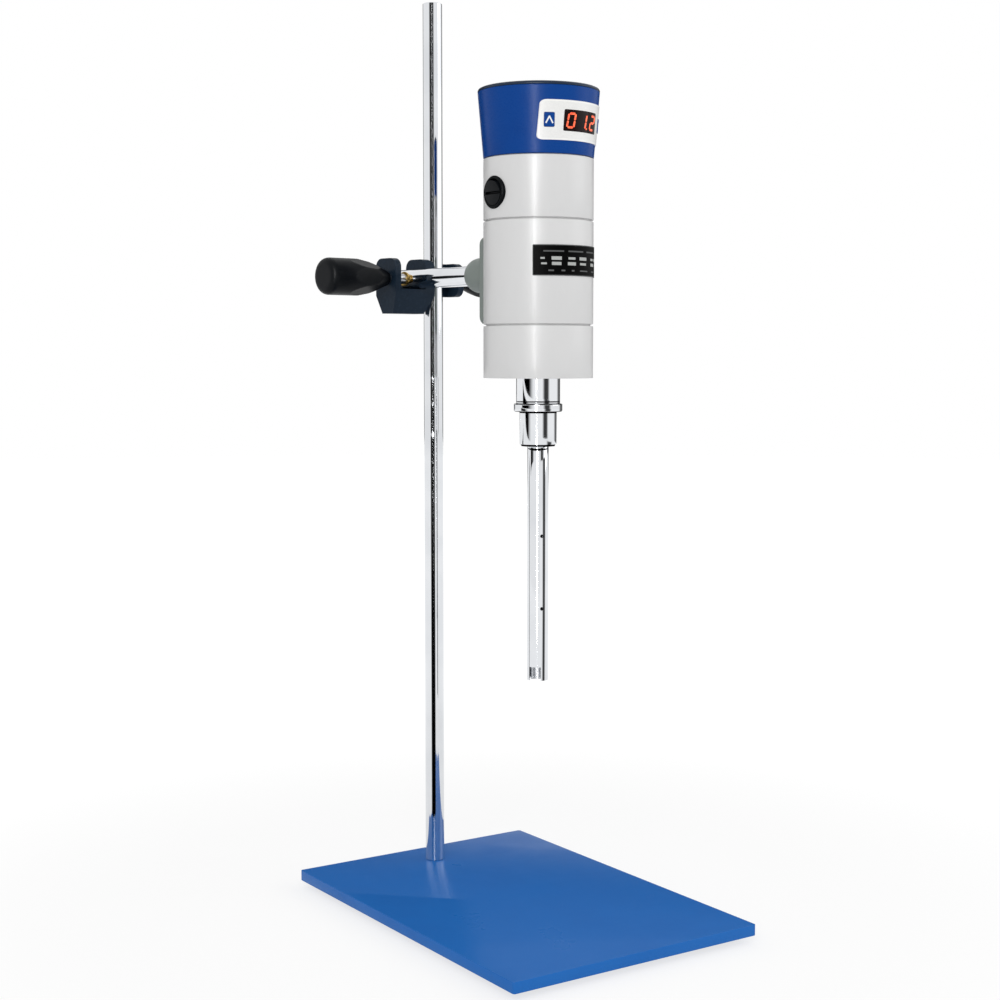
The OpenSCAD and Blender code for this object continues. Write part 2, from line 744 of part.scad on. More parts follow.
module switch_bezel()
    color(black) at_switch() {
        face = body_r + switch_out;
        difference() {
            union() {
                difference() {
                    translate([0, 0, body_r - 4]) cylinder(r = switch_d / 2, h = switch_out + 3.4);
                    rotate([90, 0, 0]) cylinder(r = body_r, h = switch_d, center = true);
                }
                translate([0, 0, body_r - switch_depth])
                    cylinder(r = switch_barrel_r, h = switch_depth + switch_out - 0.6);
                translate([0, 0, face - 0.6])
                    cylinder(r1 = switch_d / 2, r2 = switch_d / 2 - 0.6, h = 0.6);
            }
            translate([0, 0, face - rocker_deep]) cylinder(r = rocker_r + rocker_room, h = rocker_deep + eps);
            translate([0, 0, face - pivot_in]) rotate([0, 90, 0])
                cylinder(r = pivot_d / 2 + run_fit, h = 2 * switch_barrel_r - 0.2, center = true);
        }
    }

// The rocker lies tilted to its on side, and turns about its pivot pins
module switch_rocker()
    color(black) at_switch() translate([0, 0, body_r + switch_out - pivot_in]) rotate([rocker_tilt, 0, 0]) {
        intersection() {
            translate([0, 0, -2]) cylinder(r = rocker_r, h = 2 * rocker_r);
            union()
                for (side = [-1, 1])
                    rotate([side * rocker_tilt, 0, 0]) translate([0, 0, pivot_in / 2 - rocker_r])
                        intersection() {
                            cube([3 * rocker_r, 3 * rocker_r, 2 * rocker_r + pivot_in], center = true);
                            rotate([-side * rocker_tilt, 0, 0])
                                translate([0, side * 3 * rocker_r, 0])
                                    cube([6 * rocker_r, 6 * rocker_r, 8 * rocker_r], center = true);
                        }
        }
        rotate([0, 90, 0]) cylinder(d = pivot_d, h = 2 * switch_barrel_r - 0.8, center = true);
    }

module rating_plate()
    color(black) at_unit() intersection() {
        tube(body_r + 0.5, body_r, head_z);
        facing(0, rating_up) linear_extrude(body_d)
            rounded_rect(body_d * sin(rating_w / 2 / body_r * 180 / PI), rating_h, 0.6);
    }

module at_gland() at_unit() facing(gland_angle, gland_z) children();

module cord_gland()
    color(black) at_gland() difference() {
        union() {
            translate([0, 0, bore_r - 4]) cylinder(r = gland_r, h = shell_wall + 4 + gland_out);
            difference() {
                translate([0, 0, body_r - 4]) cylinder(r = gland_flange_r, h = 7);
                rotate([90, 0, 0]) cylinder(r = body_r, h = 4 * gland_flange_r, center = true);
            }
        }
        translate([0, 0, bore_r - 4 - eps]) cylinder(d = cord_hole_d, h = shell_wall + gland_out + 6);
    }

module gland_nut()
    color(black) at_gland() difference() {
        translate([0, 0, bore_r - 3.5]) cylinder(r = gland_flange_r, h = 2.5, $fn = 6);
        translate([0, 0, bore_r - 4]) cylinder(r = gland_r, h = 4);
    }

// ---------- motor ----------
module neck_screw_places()
    for (k = [0:3]) rotate([0, 0, 45 + 90 * k]) translate([neck_bolt_r, 0, floor_t + flange_t]) children();

module neck()
    color(chrome) at_unit() difference() {
        union() {
            translate([0, 0, -neck_l]) cylinder(d = neck_d, h = neck_l + floor_t);
            translate([0, 0, floor_t]) cylinder(r = flange_r, h = flange_t);
            translate([0, 0, collar_top]) cylinder(r = thread_r, h = thread_l + eps);
        }
        translate([0, 0, collar_top - eps]) cylinder(r = spigot_r, h = spigot_l + part_gap + eps);
        translate([0, 0, collar_top]) cylinder(r = socket_r + 1, h = 60);
        translate([0, 0, floor_t + flange_t - bearing_h]) cylinder(d = bearing_d, h = bearing_h + eps);
        neck_screw_places() translate([0, 0, -flange_t - eps]) cylinder(d = bolt_d, h = flange_t + 2 * eps);
    }

module neck_screws()
    color(steel) at_unit() neck_screw_places()
        pan_screw(bolt_d, flange_t + floor_t - 1, bolt_head_d, 2.5);

module tie_bolt_places()
    for (k = [0:3]) rotate([0, 0, 45 + 90 * k]) translate([bolt_circle_r, 0, 0]) children();

post_r = bolt_d / 2 + 1.5;

module lower_bracket()
    color(steel) at_unit() difference() {
        union() {
            translate([0, 0, bracket_z]) tube(bore_r, coil_r + 2, bracket_t);
            tie_bolt_places() translate([0, 0, bracket_z]) cylinder(r = post_r, h = field_z - bracket_z);
        }
        tie_bolt_places() cylinder(d = bolt_d, h = lid_z);
    }

module upper_bracket()
    color(steel) at_unit() difference() {
        union() {
            translate([0, 0, top_bracket_z]) cylinder(r = bore_r, h = bracket_t);
            translate([0, 0, top_bracket_z]) cylinder(d = bearing_d + 6, h = bearing_h);
            tie_bolt_places() translate([0, 0, core_top]) cylinder(r = post_r, h = top_bracket_z - core_top);
        }
        translate([0, 0, top_bracket_z - eps]) cylinder(d = bearing_d, h = bearing_h + 2 * eps);
        tie_bolt_places() cylinder(d = bolt_d, h = lid_z);
    }

module lower_bearing()
    color(steel) at_unit() translate([0, 0, floor_t + flange_t - bearing_h])
        ball_bearing(bearing_d, motor_shaft_d + 2 * run_fit, bearing_h);

module upper_bearing()
    color(steel) at_unit() translate([0, 0, top_bracket_z])
        ball_bearing(bearing_d, motor_shaft_d + 2 * run_fit, bearing_h);

module tie_bolts()
    color(steel) at_unit() tie_bolt_places() {
        top = top_bracket_z + bracket_t;
        translate([0, 0, bracket_z - bolt_head_h]) cylinder(d = bolt_head_d, h = bolt_head_h);
        translate([0, 0, bracket_z - 1]) cylinder(d = bolt_d, h = top - bracket_z + 5);
        translate([0, 0, top]) cylinder(d = bolt_head_d, h = bolt_head_h, $fn = 6);
    }

// Windows in the field core through which the coils' sides run
module coil_sides(h, fit)
    for (k = [0:1], s = [-1, 1])
        rotate([0, 0, 180 * k + s * coil_angle]) translate([coil_r - fit, -coil_w / 2 - fit, field_z - h])
            cube([coil_w + 2 * fit, coil_w + 2 * fit, core_h + 2 * h]);

module field_core()
    color(steel) at_unit() difference() {
        translate([0, 0, field_z]) tube(field_d / 2, armature_d / 2 + part_gap * 2, core_h);
        coil_sides(eps, 0);
        tie_bolt_places() cylinder(d = bolt_d, h = lid_z);
    }

module field_coils()
    color(copper) at_unit() for (k = [0:1]) rotate([0, 0, 180 * k]) {
        for (s = [-1, 1])
            rotate([0, 0, s * coil_angle]) translate([coil_r, -coil_w / 2, field_z - end_turn_h])
                cube([coil_w, coil_w, core_h + 2 * end_turn_h]);
        for (z = [field_z - end_turn_h, core_top])
            translate([0, 0, z]) rotate([0, 0, -coil_angle]) rotate_extrude(angle = 2 * coil_angle)
                translate([coil_r, 0]) square([coil_w, end_turn_h]);
    }

module brush_places() for (k = [0:1]) rotate([0, 0, 180 * k]) translate([0, 0, brush_z]) children();

module brush_holders()
    color(brass) at_unit() brush_places() difference() {
        translate([holder_in, -brush_w / 2 - brush_wall, -brush_h / 2 - brush_wall])
            cube([holder_out - holder_in, brush_w + 2 * brush_wall, brush_h + 2 * brush_wall]);
        translate([holder_in - eps, -brush_w / 2, -brush_h / 2])
            cube([holder_out - holder_in - brush_wall + eps, brush_w, brush_h]);
    }

module carbon_brushes()
    color(black) at_unit() brush_places()
        translate([brush_in, -brush_w / 2, -brush_h / 2]) cube([brush_l, brush_w, brush_h]);

module brush_springs()
    color(steel) at_unit() brush_places()
        translate([brush_in + brush_l, 0, 0]) rotate([0, 90, 0])
            coil_spring(2, 0.7, 6, holder_out - brush_wall - brush_in - brush_l);

shaft_bottom = socket_top - 11;
shaft_top = top_bracket_z + bearing_h + 2;

module motor_shaft()
    color(chrome) at_unit() translate([0, 0, shaft_bottom])
        cylinder(d = motor_shaft_d, h = shaft_top - shaft_bottom);

module slot_cuts(w, r0, r1, h)
    for (k = [0:armature_slots - 1])
        rotate([0, 0, k * 360 / armature_slots]) translate([r0, -w / 2, 0]) cube([r1 - r0, w, h]);

slot_floor = armature_d / 2 - 8;
wire_top = armature_d / 2 - 1;

module armature_core()
    color(steel) at_unit() translate([0, 0, field_z]) difference() {
        tube(armature_d / 2, motor_shaft_d / 2, core_h);
        translate([0, 0, -eps]) slot_cuts(2.4, slot_floor, armature_d, core_h + 2 * eps);
    }

module armature_winding()
    color(copper) at_unit() translate([0, 0, field_z]) {
        slot_cuts(2.4, slot_floor, wire_top, core_h);
        for (z = [-end_turn_h, core_h]) translate([0, 0, z])
            tube(wire_top, motor_shaft_d / 2 + 2, end_turn_h);
    }

module commutator()
    color(copper) at_unit() translate([0, 0, commutator_z]) difference() {
        tube(commutator_d / 2, motor_shaft_d / 2, commutator_h);
        for (k = [0:commutator_bars - 1])
            rotate([0, 0, k * 360 / commutator_bars]) translate([commutator_d / 2 - 0.8, -bar_gap / 2, -eps])
                cube([2, bar_gap, commutator_h + 2 * eps]);
    }

module cooling_fan()
    color(black) at_unit() translate([0, 0, fan_z]) {
        tube(motor_shaft_d / 2 + 4, motor_shaft_d / 2, fan_h);
        difference() {
            translate([0, 0, fan_h - 2]) cylinder(d = fan_d, h = 2);
            cylinder(r = motor_shaft_d / 2 + 1, h = fan_h + eps);
        }
        for (k = [0:fan_blades - 1])
            rotate([0, 0, k * 360 / fan_blades]) translate([motor_shaft_d / 2 + 2, -0.75, 0])
                cube([fan_d / 2 - motor_shaft_d / 2 - 3, 1.5, fan_h - 1]);
    }

module drive_socket()
    color(steel) at_unit() translate([0, 0, socket_top - socket_h]) difference() {
        cylinder(r = socket_r, h = socket_h - 1.5);
        translate([0, 0, shaft_bottom - socket_top + socket_h]) cylinder(d = motor_shaft_d, h = socket_h);
        translate([0, 0, (shaft_bottom - socket_top + socket_h) / 2])
            cube([square + 2 * square_fit, square + 2 * square_fit, socket_h], center = true);
    }

// ---------- lock ring and dispersing tool ----------
module lock_ring()
    color(chrome) at_unit() translate([0, 0, collar_z]) difference() {
        drum(ring_d / 2, ring_h - seat_gap, 0.6);
        translate([0, 0, lip_h]) cylinder(r = thread_r + run_fit, h = ring_h);
        translate([0, 0, -eps]) cylinder(r = collar_r + run_fit, h = ring_h);
    }

module tool_collar()
    color(chrome) at_unit() difference() {
        union() {
            translate([0, 0, collar_bottom])
                cylinder(r1 = collar_r - collar_round, r2 = collar_r, h = collar_round);
            translate([0, 0, collar_bottom + collar_round])
                cylinder(r = collar_r, h = collar_top - collar_bottom - collar_round - seat_gap);
            translate([0, 0, collar_z + lip_h + seat_gap])
                cylinder(r = thread_r - 0.3, h = collar_top - collar_z - lip_h - 2 * seat_gap);
            translate([0, 0, collar_top - 1]) cylinder(r = spigot_r - run_fit, h = spigot_l + 1);
        }
        translate([0, 0, collar_bottom - eps]) cylinder(r = tube_r, h = tube_in + eps);
        translate([0, 0, collar_bottom]) cylinder(r = drive_d / 2 + part_gap, h = tube_l);
        translate([0, 0, socket_top - socket_h - 1.5]) cylinder(r = socket_r + 2 * part_gap, h = tube_l);
        translate([0, 0, collar_bottom + tube_in + 3]) cylinder(r = drive_d / 2 + 3, h = seal_h);
    }

module stator_tube()
    color(chrome) at_unit() difference() {
        translate([0, 0, tip_z]) tube(tube_r, tube_bore, tube_l + tube_in);
        for (k = [0:slots / 2 - 1])
            rotate([0, 0, slot_angle + k * 360 / slots]) translate([0, 0, tip_z])
                cube([tube_d + eps, slot_w, 2 * slot_h], center = true);
        for (rise = cross_hole_rises)
            translate([0, 0, tip_z + tube_l * rise]) rotate([0, 0, cross_hole_angle]) rotate([90, 0, 0])
                cylinder(d = cross_hole_d, h = tube_d + 2 * eps, center = true);
    }

module tool_bushes()
    color(nylon) at_unit() for (rise = bush_rises)
        translate([0, 0, tip_z + tube_l * rise]) tube(tube_bore, drive_d / 2 + run_fit, bush_h);

module shaft_seal()
    color(black) at_unit() translate([0, 0, collar_bottom + tube_in + 3])
        tube(drive_d / 2 + 3, drive_d / 2 + run_fit, seal_h);

tongue_top = shaft_bottom - 0.5;
module drive_shaft()
    color(chrome) at_unit() {
        translate([0, 0, tip_z + 2]) cylinder(d = drive_d, h = tongue_top - tongue_l - tip_z - 2);
        translate([-square / 2, -square / 2, tongue_top - tongue_l - 1]) cube([square, square, tongue_l + 1]);
    }

module rotor_blades()
    color(steel) at_unit() translate([0, 0, tip_z + 1]) difference() {
        union() {
            cylinder(d = drive_d + 2, h = blade_h);
            for (turn = [0, 90]) rotate([0, 0, turn]) translate([0, 0, blade_h / 2])
                intersection() {
                    cube([2 * tube_bore, 2, blade_h], center = true);
                    cylinder(r = tube_bore - blade_gap, h = blade_h, center = true);
                }
        }
        translate([0, 0, 1]) cylinder(d = drive_d, h = blade_h);
    }

base_plate();
rubber_feet();
foot_screws();
stand_rod();
rod_screw();
clamp_casting();
arm_pad();
arm_clamp_screw();
arm_clamp_knob();
rod_pad();
rod_clamp_screw();
rod_clamp_knob();
support_arm();
arm_socket();
saddle_plate();
saddle_screws();
lower_shell();
middle_shell();
upper_shell();
head_shell();
top_lid();
display_panel();
display_window();
display_module();
control_board();
board_bracket();
up_button();
down_button();
switch_bezel();
switch_rocker();
rating_plate();
cord_gland();
gland_nut();
neck();
neck_screws();
lower_bracket();
upper_bracket();
lower_bearing();
upper_bearing();
tie_bolts();
field_core();
field_coils();
brush_holders();
carbon_brushes();
brush_springs();
motor_shaft();
armature_core();
armature_winding();
commutator();
cooling_fan();
drive_socket();
lock_ring();
tool_collar();
stator_tube();
tool_bushes();
shaft_seal();
drive_shaft();
rotor_blades();
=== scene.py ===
"""Looks of a rotor stator homogenizer that hangs from an arm on a rod stand.

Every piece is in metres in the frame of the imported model: +Z up, the display towards -Y.
Sizes written in the classes are millimetres, and MM turns them into metres.
"""

import json
import logging
import math
from dataclasses import dataclass
from enum import Enum
from typing import Callable, Iterable, Sequence, Union

import bmesh
import bpy
from mathutils import Matrix, Vector


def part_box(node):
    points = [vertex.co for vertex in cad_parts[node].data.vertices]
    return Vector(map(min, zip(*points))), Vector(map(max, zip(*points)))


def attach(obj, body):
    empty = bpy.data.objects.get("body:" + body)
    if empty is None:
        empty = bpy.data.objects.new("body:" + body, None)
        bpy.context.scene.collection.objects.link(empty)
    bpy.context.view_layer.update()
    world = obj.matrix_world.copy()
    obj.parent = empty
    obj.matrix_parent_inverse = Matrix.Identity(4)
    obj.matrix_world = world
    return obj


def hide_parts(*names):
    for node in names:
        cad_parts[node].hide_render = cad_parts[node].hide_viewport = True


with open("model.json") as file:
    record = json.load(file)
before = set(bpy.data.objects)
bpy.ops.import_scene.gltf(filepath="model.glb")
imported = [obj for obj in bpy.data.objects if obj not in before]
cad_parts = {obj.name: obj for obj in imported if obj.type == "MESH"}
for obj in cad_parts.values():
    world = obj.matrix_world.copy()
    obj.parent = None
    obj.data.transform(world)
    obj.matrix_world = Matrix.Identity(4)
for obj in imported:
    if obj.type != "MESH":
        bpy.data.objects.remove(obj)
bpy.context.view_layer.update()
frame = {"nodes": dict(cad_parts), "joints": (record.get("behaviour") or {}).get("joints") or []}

log = logging.getLogger("homogenizer")
MM = 0.001
MERGE = 1e-6
SMOOTH_ANGLE = math.radians(38)
ROUND = 128

Piece = bpy.types.Object
Material = bpy.types.Material
Socket = bpy.types.NodeSocket
Outline = Sequence[tuple[float, float]]
Colour = tuple[float, float, float, float]


def paint(red: int, green: int, blue: int) -> Colour:
    """Turn screen values from 0 to 255 into the linear colour that shaders take.

    Args:
        red, green, blue: the colour as a screen shows it.

    Returns:
        The same colour as linear red, green, blue and a full alpha.
    """
    def linear(value: float) -> float:
        """Undo the screen's curve for one channel."""
        share = value / 255
        return share / 12.92 if share <= 0.04045 else ((share + 0.055) / 1.055) ** 2.4

    return linear(red), linear(green), linear(blue), 1.0


# ---------- shader maths ----------


class Term:
    """A value in a shader that Python's operators work on, each adding a Math node."""

    def __init__(self, graph: "Graph", socket: Socket) -> None:
        """Wrap one output socket of a graph."""
        self.graph = graph
        self.socket = socket

    def math(self, operation: str, *others: Union["Term", float]) -> "Term":
        """Add one Math node.

        Args:
            operation: the node's operation.
            others: the values after this one.

        Returns:
            The node's result.
        """
        links = dict(enumerate((self, *others)))
        return Term(self.graph, self.graph.node("ShaderNodeMath", {"operation": operation}, links).outputs[0])

    def __add__(self, other: Union["Term", float]) -> "Term":
        """This plus the other."""
        return self.math("ADD", other)

    def __sub__(self, other: Union["Term", float]) -> "Term":
        """This less the other."""
        return self.math("SUBTRACT", other)

    def __rsub__(self, other: float) -> "Term":
        """The other less this."""
        return (self * -1.0) + other

    def __mul__(self, other: Union["Term", float]) -> "Term":
        """This times the other."""
        return self.math("MULTIPLY", other)

    def size(self) -> "Term":
        """The value without its sign."""
        return self.math("ABSOLUTE")

    def at_least(self, other: Union["Term", float]) -> "Term":
        """The larger of the two."""
        return self.math("MAXIMUM", other)

    def at_most(self, other: Union["Term", float]) -> "Term":
        """The smaller of the two."""
        return self.math("MINIMUM", other)

    def angle(self, other: Union["Term", float]) -> "Term":
        """The angle whose tangent is this over the other, in radians."""
        return self.math("ARCTAN2", other)

    def fades(self, start: float, end: float, low: float = 0.0, high: float = 1.0) -> "Term":
        """Run smoothly from one value to another.

        Args:
            start, end: where the run starts and ends.
            low, high: the result at the start and at the end.

        Returns:
            The result, held level outside the run.
        """
        span = {1: start, 2: end, 3: low, 4: high}
        node = self.graph.node("ShaderNodeMapRange", {"interpolation_type": "SMOOTHSTEP"}, {0: self, **span})
        return Term(self.graph, node.outputs[0])

    def inside(self, edge: float = 0.05 * MM) -> "Term":
        """One where a signed distance is below zero, with a crisp soft edge."""
        return self.fades(-edge, edge, 1.0, 0.0)


class Graph:
    """The nodes of one material."""

    def __init__(self, name: str) -> None:
        """Start a material with only its output node."""
        self.material = bpy.data.materials.new(name)
        self.material.use_nodes = True
        self.tree = self.material.node_tree
        self.tree.nodes.clear()

    def node(self, kind: str, settings: dict | None = None, values: dict | None = None) -> bpy.types.Node:
        """Add a node of any type.

        Args:
            kind: the node's type.
            settings: its own settings, set before its sockets.
            values: numbers, colours, terms or sockets for its inputs, by name or index.

        Returns:
            The node.
        """
        made = self.tree.nodes.new(kind)
        for key, value in (settings or {}).items():
            setattr(made, key, value)
        for key, value in (values or {}).items():
            if isinstance(value, Term):
                value = value.socket
            if isinstance(value, Socket):
                self.tree.links.new(value, made.inputs[key])
            else:
                made.inputs[key].default_value = value
        return made

    def place(self, centre: Vector = Vector(), turn: float = 0.0, scale: Sequence[float] = (1, 1, 1)):
        """Object coordinates about a point of the piece.

        Args:
            centre: the point that becomes zero, in metres.
            turn: how far the pattern is turned about +Z, in radians.
            scale: size of one unit along each axis.

        Returns:
            The vector socket.
        """
        source = self.node("ShaderNodeTexCoord").outputs["Object"]
        settings = {"vector_type": "TEXTURE"}
        values = {"Vector": source, "Location": centre, "Rotation": (0, 0, turn), "Scale": scale}
        return self.node("ShaderNodeMapping", settings, values).outputs[0]

    def parts(self, vector: Socket) -> tuple[Term, Term, Term]:
        """The three values of a vector."""
        outputs = self.node("ShaderNodeSeparateXYZ", {}, {0: vector}).outputs
        return Term(self, outputs[0]), Term(self, outputs[1]), Term(self, outputs[2])

    def noise(self, vector: Socket, scale: float, detail: float = 3.0) -> Term:
        """Cloudy noise about 0.5."""
        values = {"Vector": vector, "Scale": scale, "Detail": detail, "Roughness": 0.55}
        return Term(self, self.node("ShaderNodeTexNoise", {}, values).outputs[0])

    def blend(self, share: Union[Term, float], first, second) -> Socket:
        """Mix two colours.

        Args:
            share: 0 for the first colour, 1 for the second.
            first, second: colours or colour sockets.

        Returns:
            The mixed colour.
        """
        settings = {"data_type": "RGBA"}
        return self.node("ShaderNodeMix", settings, {0: share, 6: first, 7: second}).outputs[2]

    def relief(self, height: Term, depth: float, strength: float = 1.0) -> Socket:
        """A normal from a height.

        Args:
            height: the height, about 0 to 1.
            depth: metres that one unit of height stands for.
            strength: share of the relief that shows.

        Returns:
            The normal.
        """
        values = {"Height": height, "Distance": depth, "Strength": strength}
        return self.node("ShaderNodeBump", {}, values).outputs[0]

    def finish(self, **values) -> Material:
        """Close the graph with a Principled shader.

        Args:
            values: its sockets by name, with _ for a space.

        Returns:
            The material.
        """
        named = {key.replace("_", " "): value for key, value in values.items()}
        shader = self.node("ShaderNodeBsdfPrincipled", {}, named)
        self.node("ShaderNodeOutputMaterial", {}, {"Surface": shader.outputs[0]})
        return self.material


def rounded_box(across: Term, up: Term, width: float, height: float, corner: float) -> Term:
    """Signed distance to a rectangle with rounded corners.

    Args:
        across, up: the place on the surface, in metres from the middle.
        width, height, corner: its size and corner radius, in millimetres.

    Returns:
        The distance in metres, negative inside.
    """
    over_x = across.size() - (width / 2 - corner) * MM
    over_y = up.size() - (height / 2 - corner) * MM
    out_x = over_x.at_least(0.0)
    out_y = over_y.at_least(0.0)
    outer = (out_x * out_x + out_y * out_y).math("SQRT")
    return outer + over_x.at_least(over_y).at_most(0.0) - corner * MM


# ---------- finishes ----------


@dataclass(frozen=True)
class Enamel:
    """Smooth paint on metal with a clear gloss, a faint orange peel and slight mottling."""

    name: str
    colour: Colour
    shade: Colour
    gloss: float = 0.5
    rough: float = 0.32
    coat_rough: float = 0.06
    peel: float = 0.012
    specular: float = 0.5

    def material(self) -> Material:
        """Build the material."""
        graph = Graph(self.name)
        spot = graph.place()
        cloud = graph.noise(spot, 22.0, 4.0)
        skin = graph.noise(spot, 900.0, 2.0)
        colour = graph.blend(cloud.fades(0.42, 0.68, 0.0, 0.35), self.colour, self.shade)
        rough = cloud.fades(0.3, 0.7, self.rough - 0.03, self.rough + 0.05)
        normal = graph.relief(skin, self.peel * MM)
        return graph.finish(Base_Color=colour, Roughness=rough, Normal=normal, Coat_Weight=self.gloss,
                            Coat_Roughness=self.coat_rough, Specular_IOR_Level=self.specular)


@dataclass(frozen=True)
class CastPaint:
    """Dark enamel over a sand casting: pebbled, with a painted highlight that lightens the raised grain, and
    patches of differing roughness.
    """

    name: str
    colour: Colour
    grain_highlight: Colour
    specular: float = 0.1

    def material(self) -> Material:
        """Build the material."""
        graph = Graph(self.name)
        spot = graph.place()
        grain = graph.noise(spot, 420.0, 4.0)
        cloud = graph.noise(spot, 60.0, 3.0)
        # painted highlight: the colour turns lighter where the grain that raises the bumps is high
        colour = graph.blend(grain.fades(0.5, 0.75, 0.0, 0.6), self.colour, self.grain_highlight)
        rough = cloud.fades(0.3, 0.7, 0.32, 0.46)
        normal = graph.relief(grain, 0.12 * MM)
        return graph.finish(Base_Color=colour, Roughness=rough, Normal=normal, Specular_IOR_Level=self.specular)


class Grain(Enum):
    """Direction of the polishing lines on a metal."""

    ROUND = (1.0, 1.0, 60.0)
    UPRIGHT = (60.0, 60.0, 1.0)


@dataclass(frozen=True)
class Metal:
    """Bare or plated metal with fine lines from polishing or turning."""

    name: str
    colour: Colour
    shade: Colour
    rough: float
    lines: float = 0.0015
    grain: Grain = Grain.ROUND

    def material(self) -> Material:
        """Build the material."""
        graph = Graph(self.name)
        across, along, up = self.grain.value
        fine = graph.noise(graph.place(scale=(1 / across, 1 / along, 1 / up)), 120.0, 4.0)
        cloud = graph.noise(graph.place(), 30.0, 3.0)
        colour = graph.blend(cloud.fades(0.4, 0.7, 0.0, 0.5), self.colour, self.shade)
        rough = fine.fades(0.3, 0.7, self.rough * 0.75, self.rough * 1.35)
        normal = graph.relief(fine, self.lines * MM)
        return graph.finish(Base_Color=colour, Metallic=1.0, Roughness=rough, Normal=normal)


@dataclass(frozen=True)
class Moulding:
    """Moulded plastic or rubber with a fine spark-eroded grain."""

    name: str
    colour: Colour
    shade: Colour
    rough: float = 0.4
    grain: float = 0.02
    gloss: float = 0.0
    specular: float = 0.5

    def material(self) -> Material:
        """Build the material."""
        graph = Graph(self.name)
        spot = graph.place()
        skin = graph.noise(spot, 1400.0, 3.0)
        cloud = graph.noise(spot, 35.0, 3.0)
        colour = graph.blend(cloud.fades(0.4, 0.7, 0.0, 0.5), self.colour, self.shade)
        rough = skin.fades(0.3, 0.7, self.rough - 0.04, self.rough + 0.06)
        normal = graph.relief(skin, self.grain * MM)
        return graph.finish(Base_Color=colour, Roughness=rough, Normal=normal, Coat_Weight=self.gloss,
                            Coat_Roughness=0.12, Specular_IOR_Level=self.specular)


@dataclass(frozen=True)
class Stacked:
    """Thin sheets or wire turns stacked along one axis, seen as fine dark lines."""

    name: str
    colour: Colour
    groove: Colour
    pitch: float
    metallic: float
    rough: float = 0.4

    def material(self) -> Material:
        """Build the material."""
        graph = Graph(self.name)
        spot = graph.place()
        _, _, up = graph.parts(spot)
        wave = (up * (2 * math.pi / (self.pitch * MM))).math("SINE") * 0.5 + 0.5
        colour = graph.blend(wave.fades(0.0, 0.35, 0.8, 0.0), self.colour, self.groove)
        rough = graph.noise(spot, 200.0).fades(0.3, 0.7, self.rough - 0.05, self.rough + 0.1)
        return graph.finish(Base_Color=colour, Metallic=self.metallic, Roughness=rough,
                            Normal=graph.relief(wave, 0.05 * MM))


@dataclass(frozen=True)
class Wrapped:
    """A flat print that follows a round wall: its place on the wall is an arc and a height."""

    centre: Vector
    turn: float
    radius: float

    def spots(self, graph: Graph) -> tuple[Term, Term]:
        """Where a point of the wall lies on the print.

        Args:
            graph: the material's graph.

        Returns:
            Metres to the right and metres up from the print's middle.
        """
        right, back, up = graph.parts(graph.place(self.centre, self.turn))
        return right.angle(back * -1.0) * (self.radius * MM), up


@dataclass(frozen=True)
class PanelFilm:
    """Printed film: an off-white field in a white border, with soft frames round the keys."""

    name: str
    wrap: Wrapped
    width: float
    height: float
    corner: float
    border: float
    key_across: float
    key_frame: tuple[float, float, float] = (9.8, 12.2, 1.4)

    def material(self) -> Material:
        """Build the material."""
        graph = Graph(self.name)
        across, up = self.wrap.spots(graph)
        field = rounded_box(across, up, self.width - 2 * self.border, self.height - 2 * self.border,
                            self.corner - self.border / 2).inside()
        beside = across.size() - self.key_across * MM
        (wide, tall, round_out), line = self.key_frame, 0.4
        outer = rounded_box(beside, up, wide, tall, round_out).inside()
        inner = rounded_box(beside, up, wide - 2 * line, tall - 2 * line, round_out - 0.3).inside()
        key_frame = outer * (1.0 - inner)
        speck = graph.noise(graph.place(), 1200.0, 2.0)
        white = paint(245, 245, 243)
        plain = graph.blend(speck.fades(0.4, 0.6), paint(238, 238, 236), paint(234, 234, 232))
        ground = graph.blend(field, white, plain)
        colour = graph.blend(key_frame * 0.7, ground, white)
        rough = speck.fades(0.3, 0.7, 0.34, 0.44)
        return graph.finish(Base_Color=colour, Roughness=rough, Coat_Weight=0.15, Coat_Roughness=0.25,
                            Normal=graph.relief(speck, 0.004 * MM))


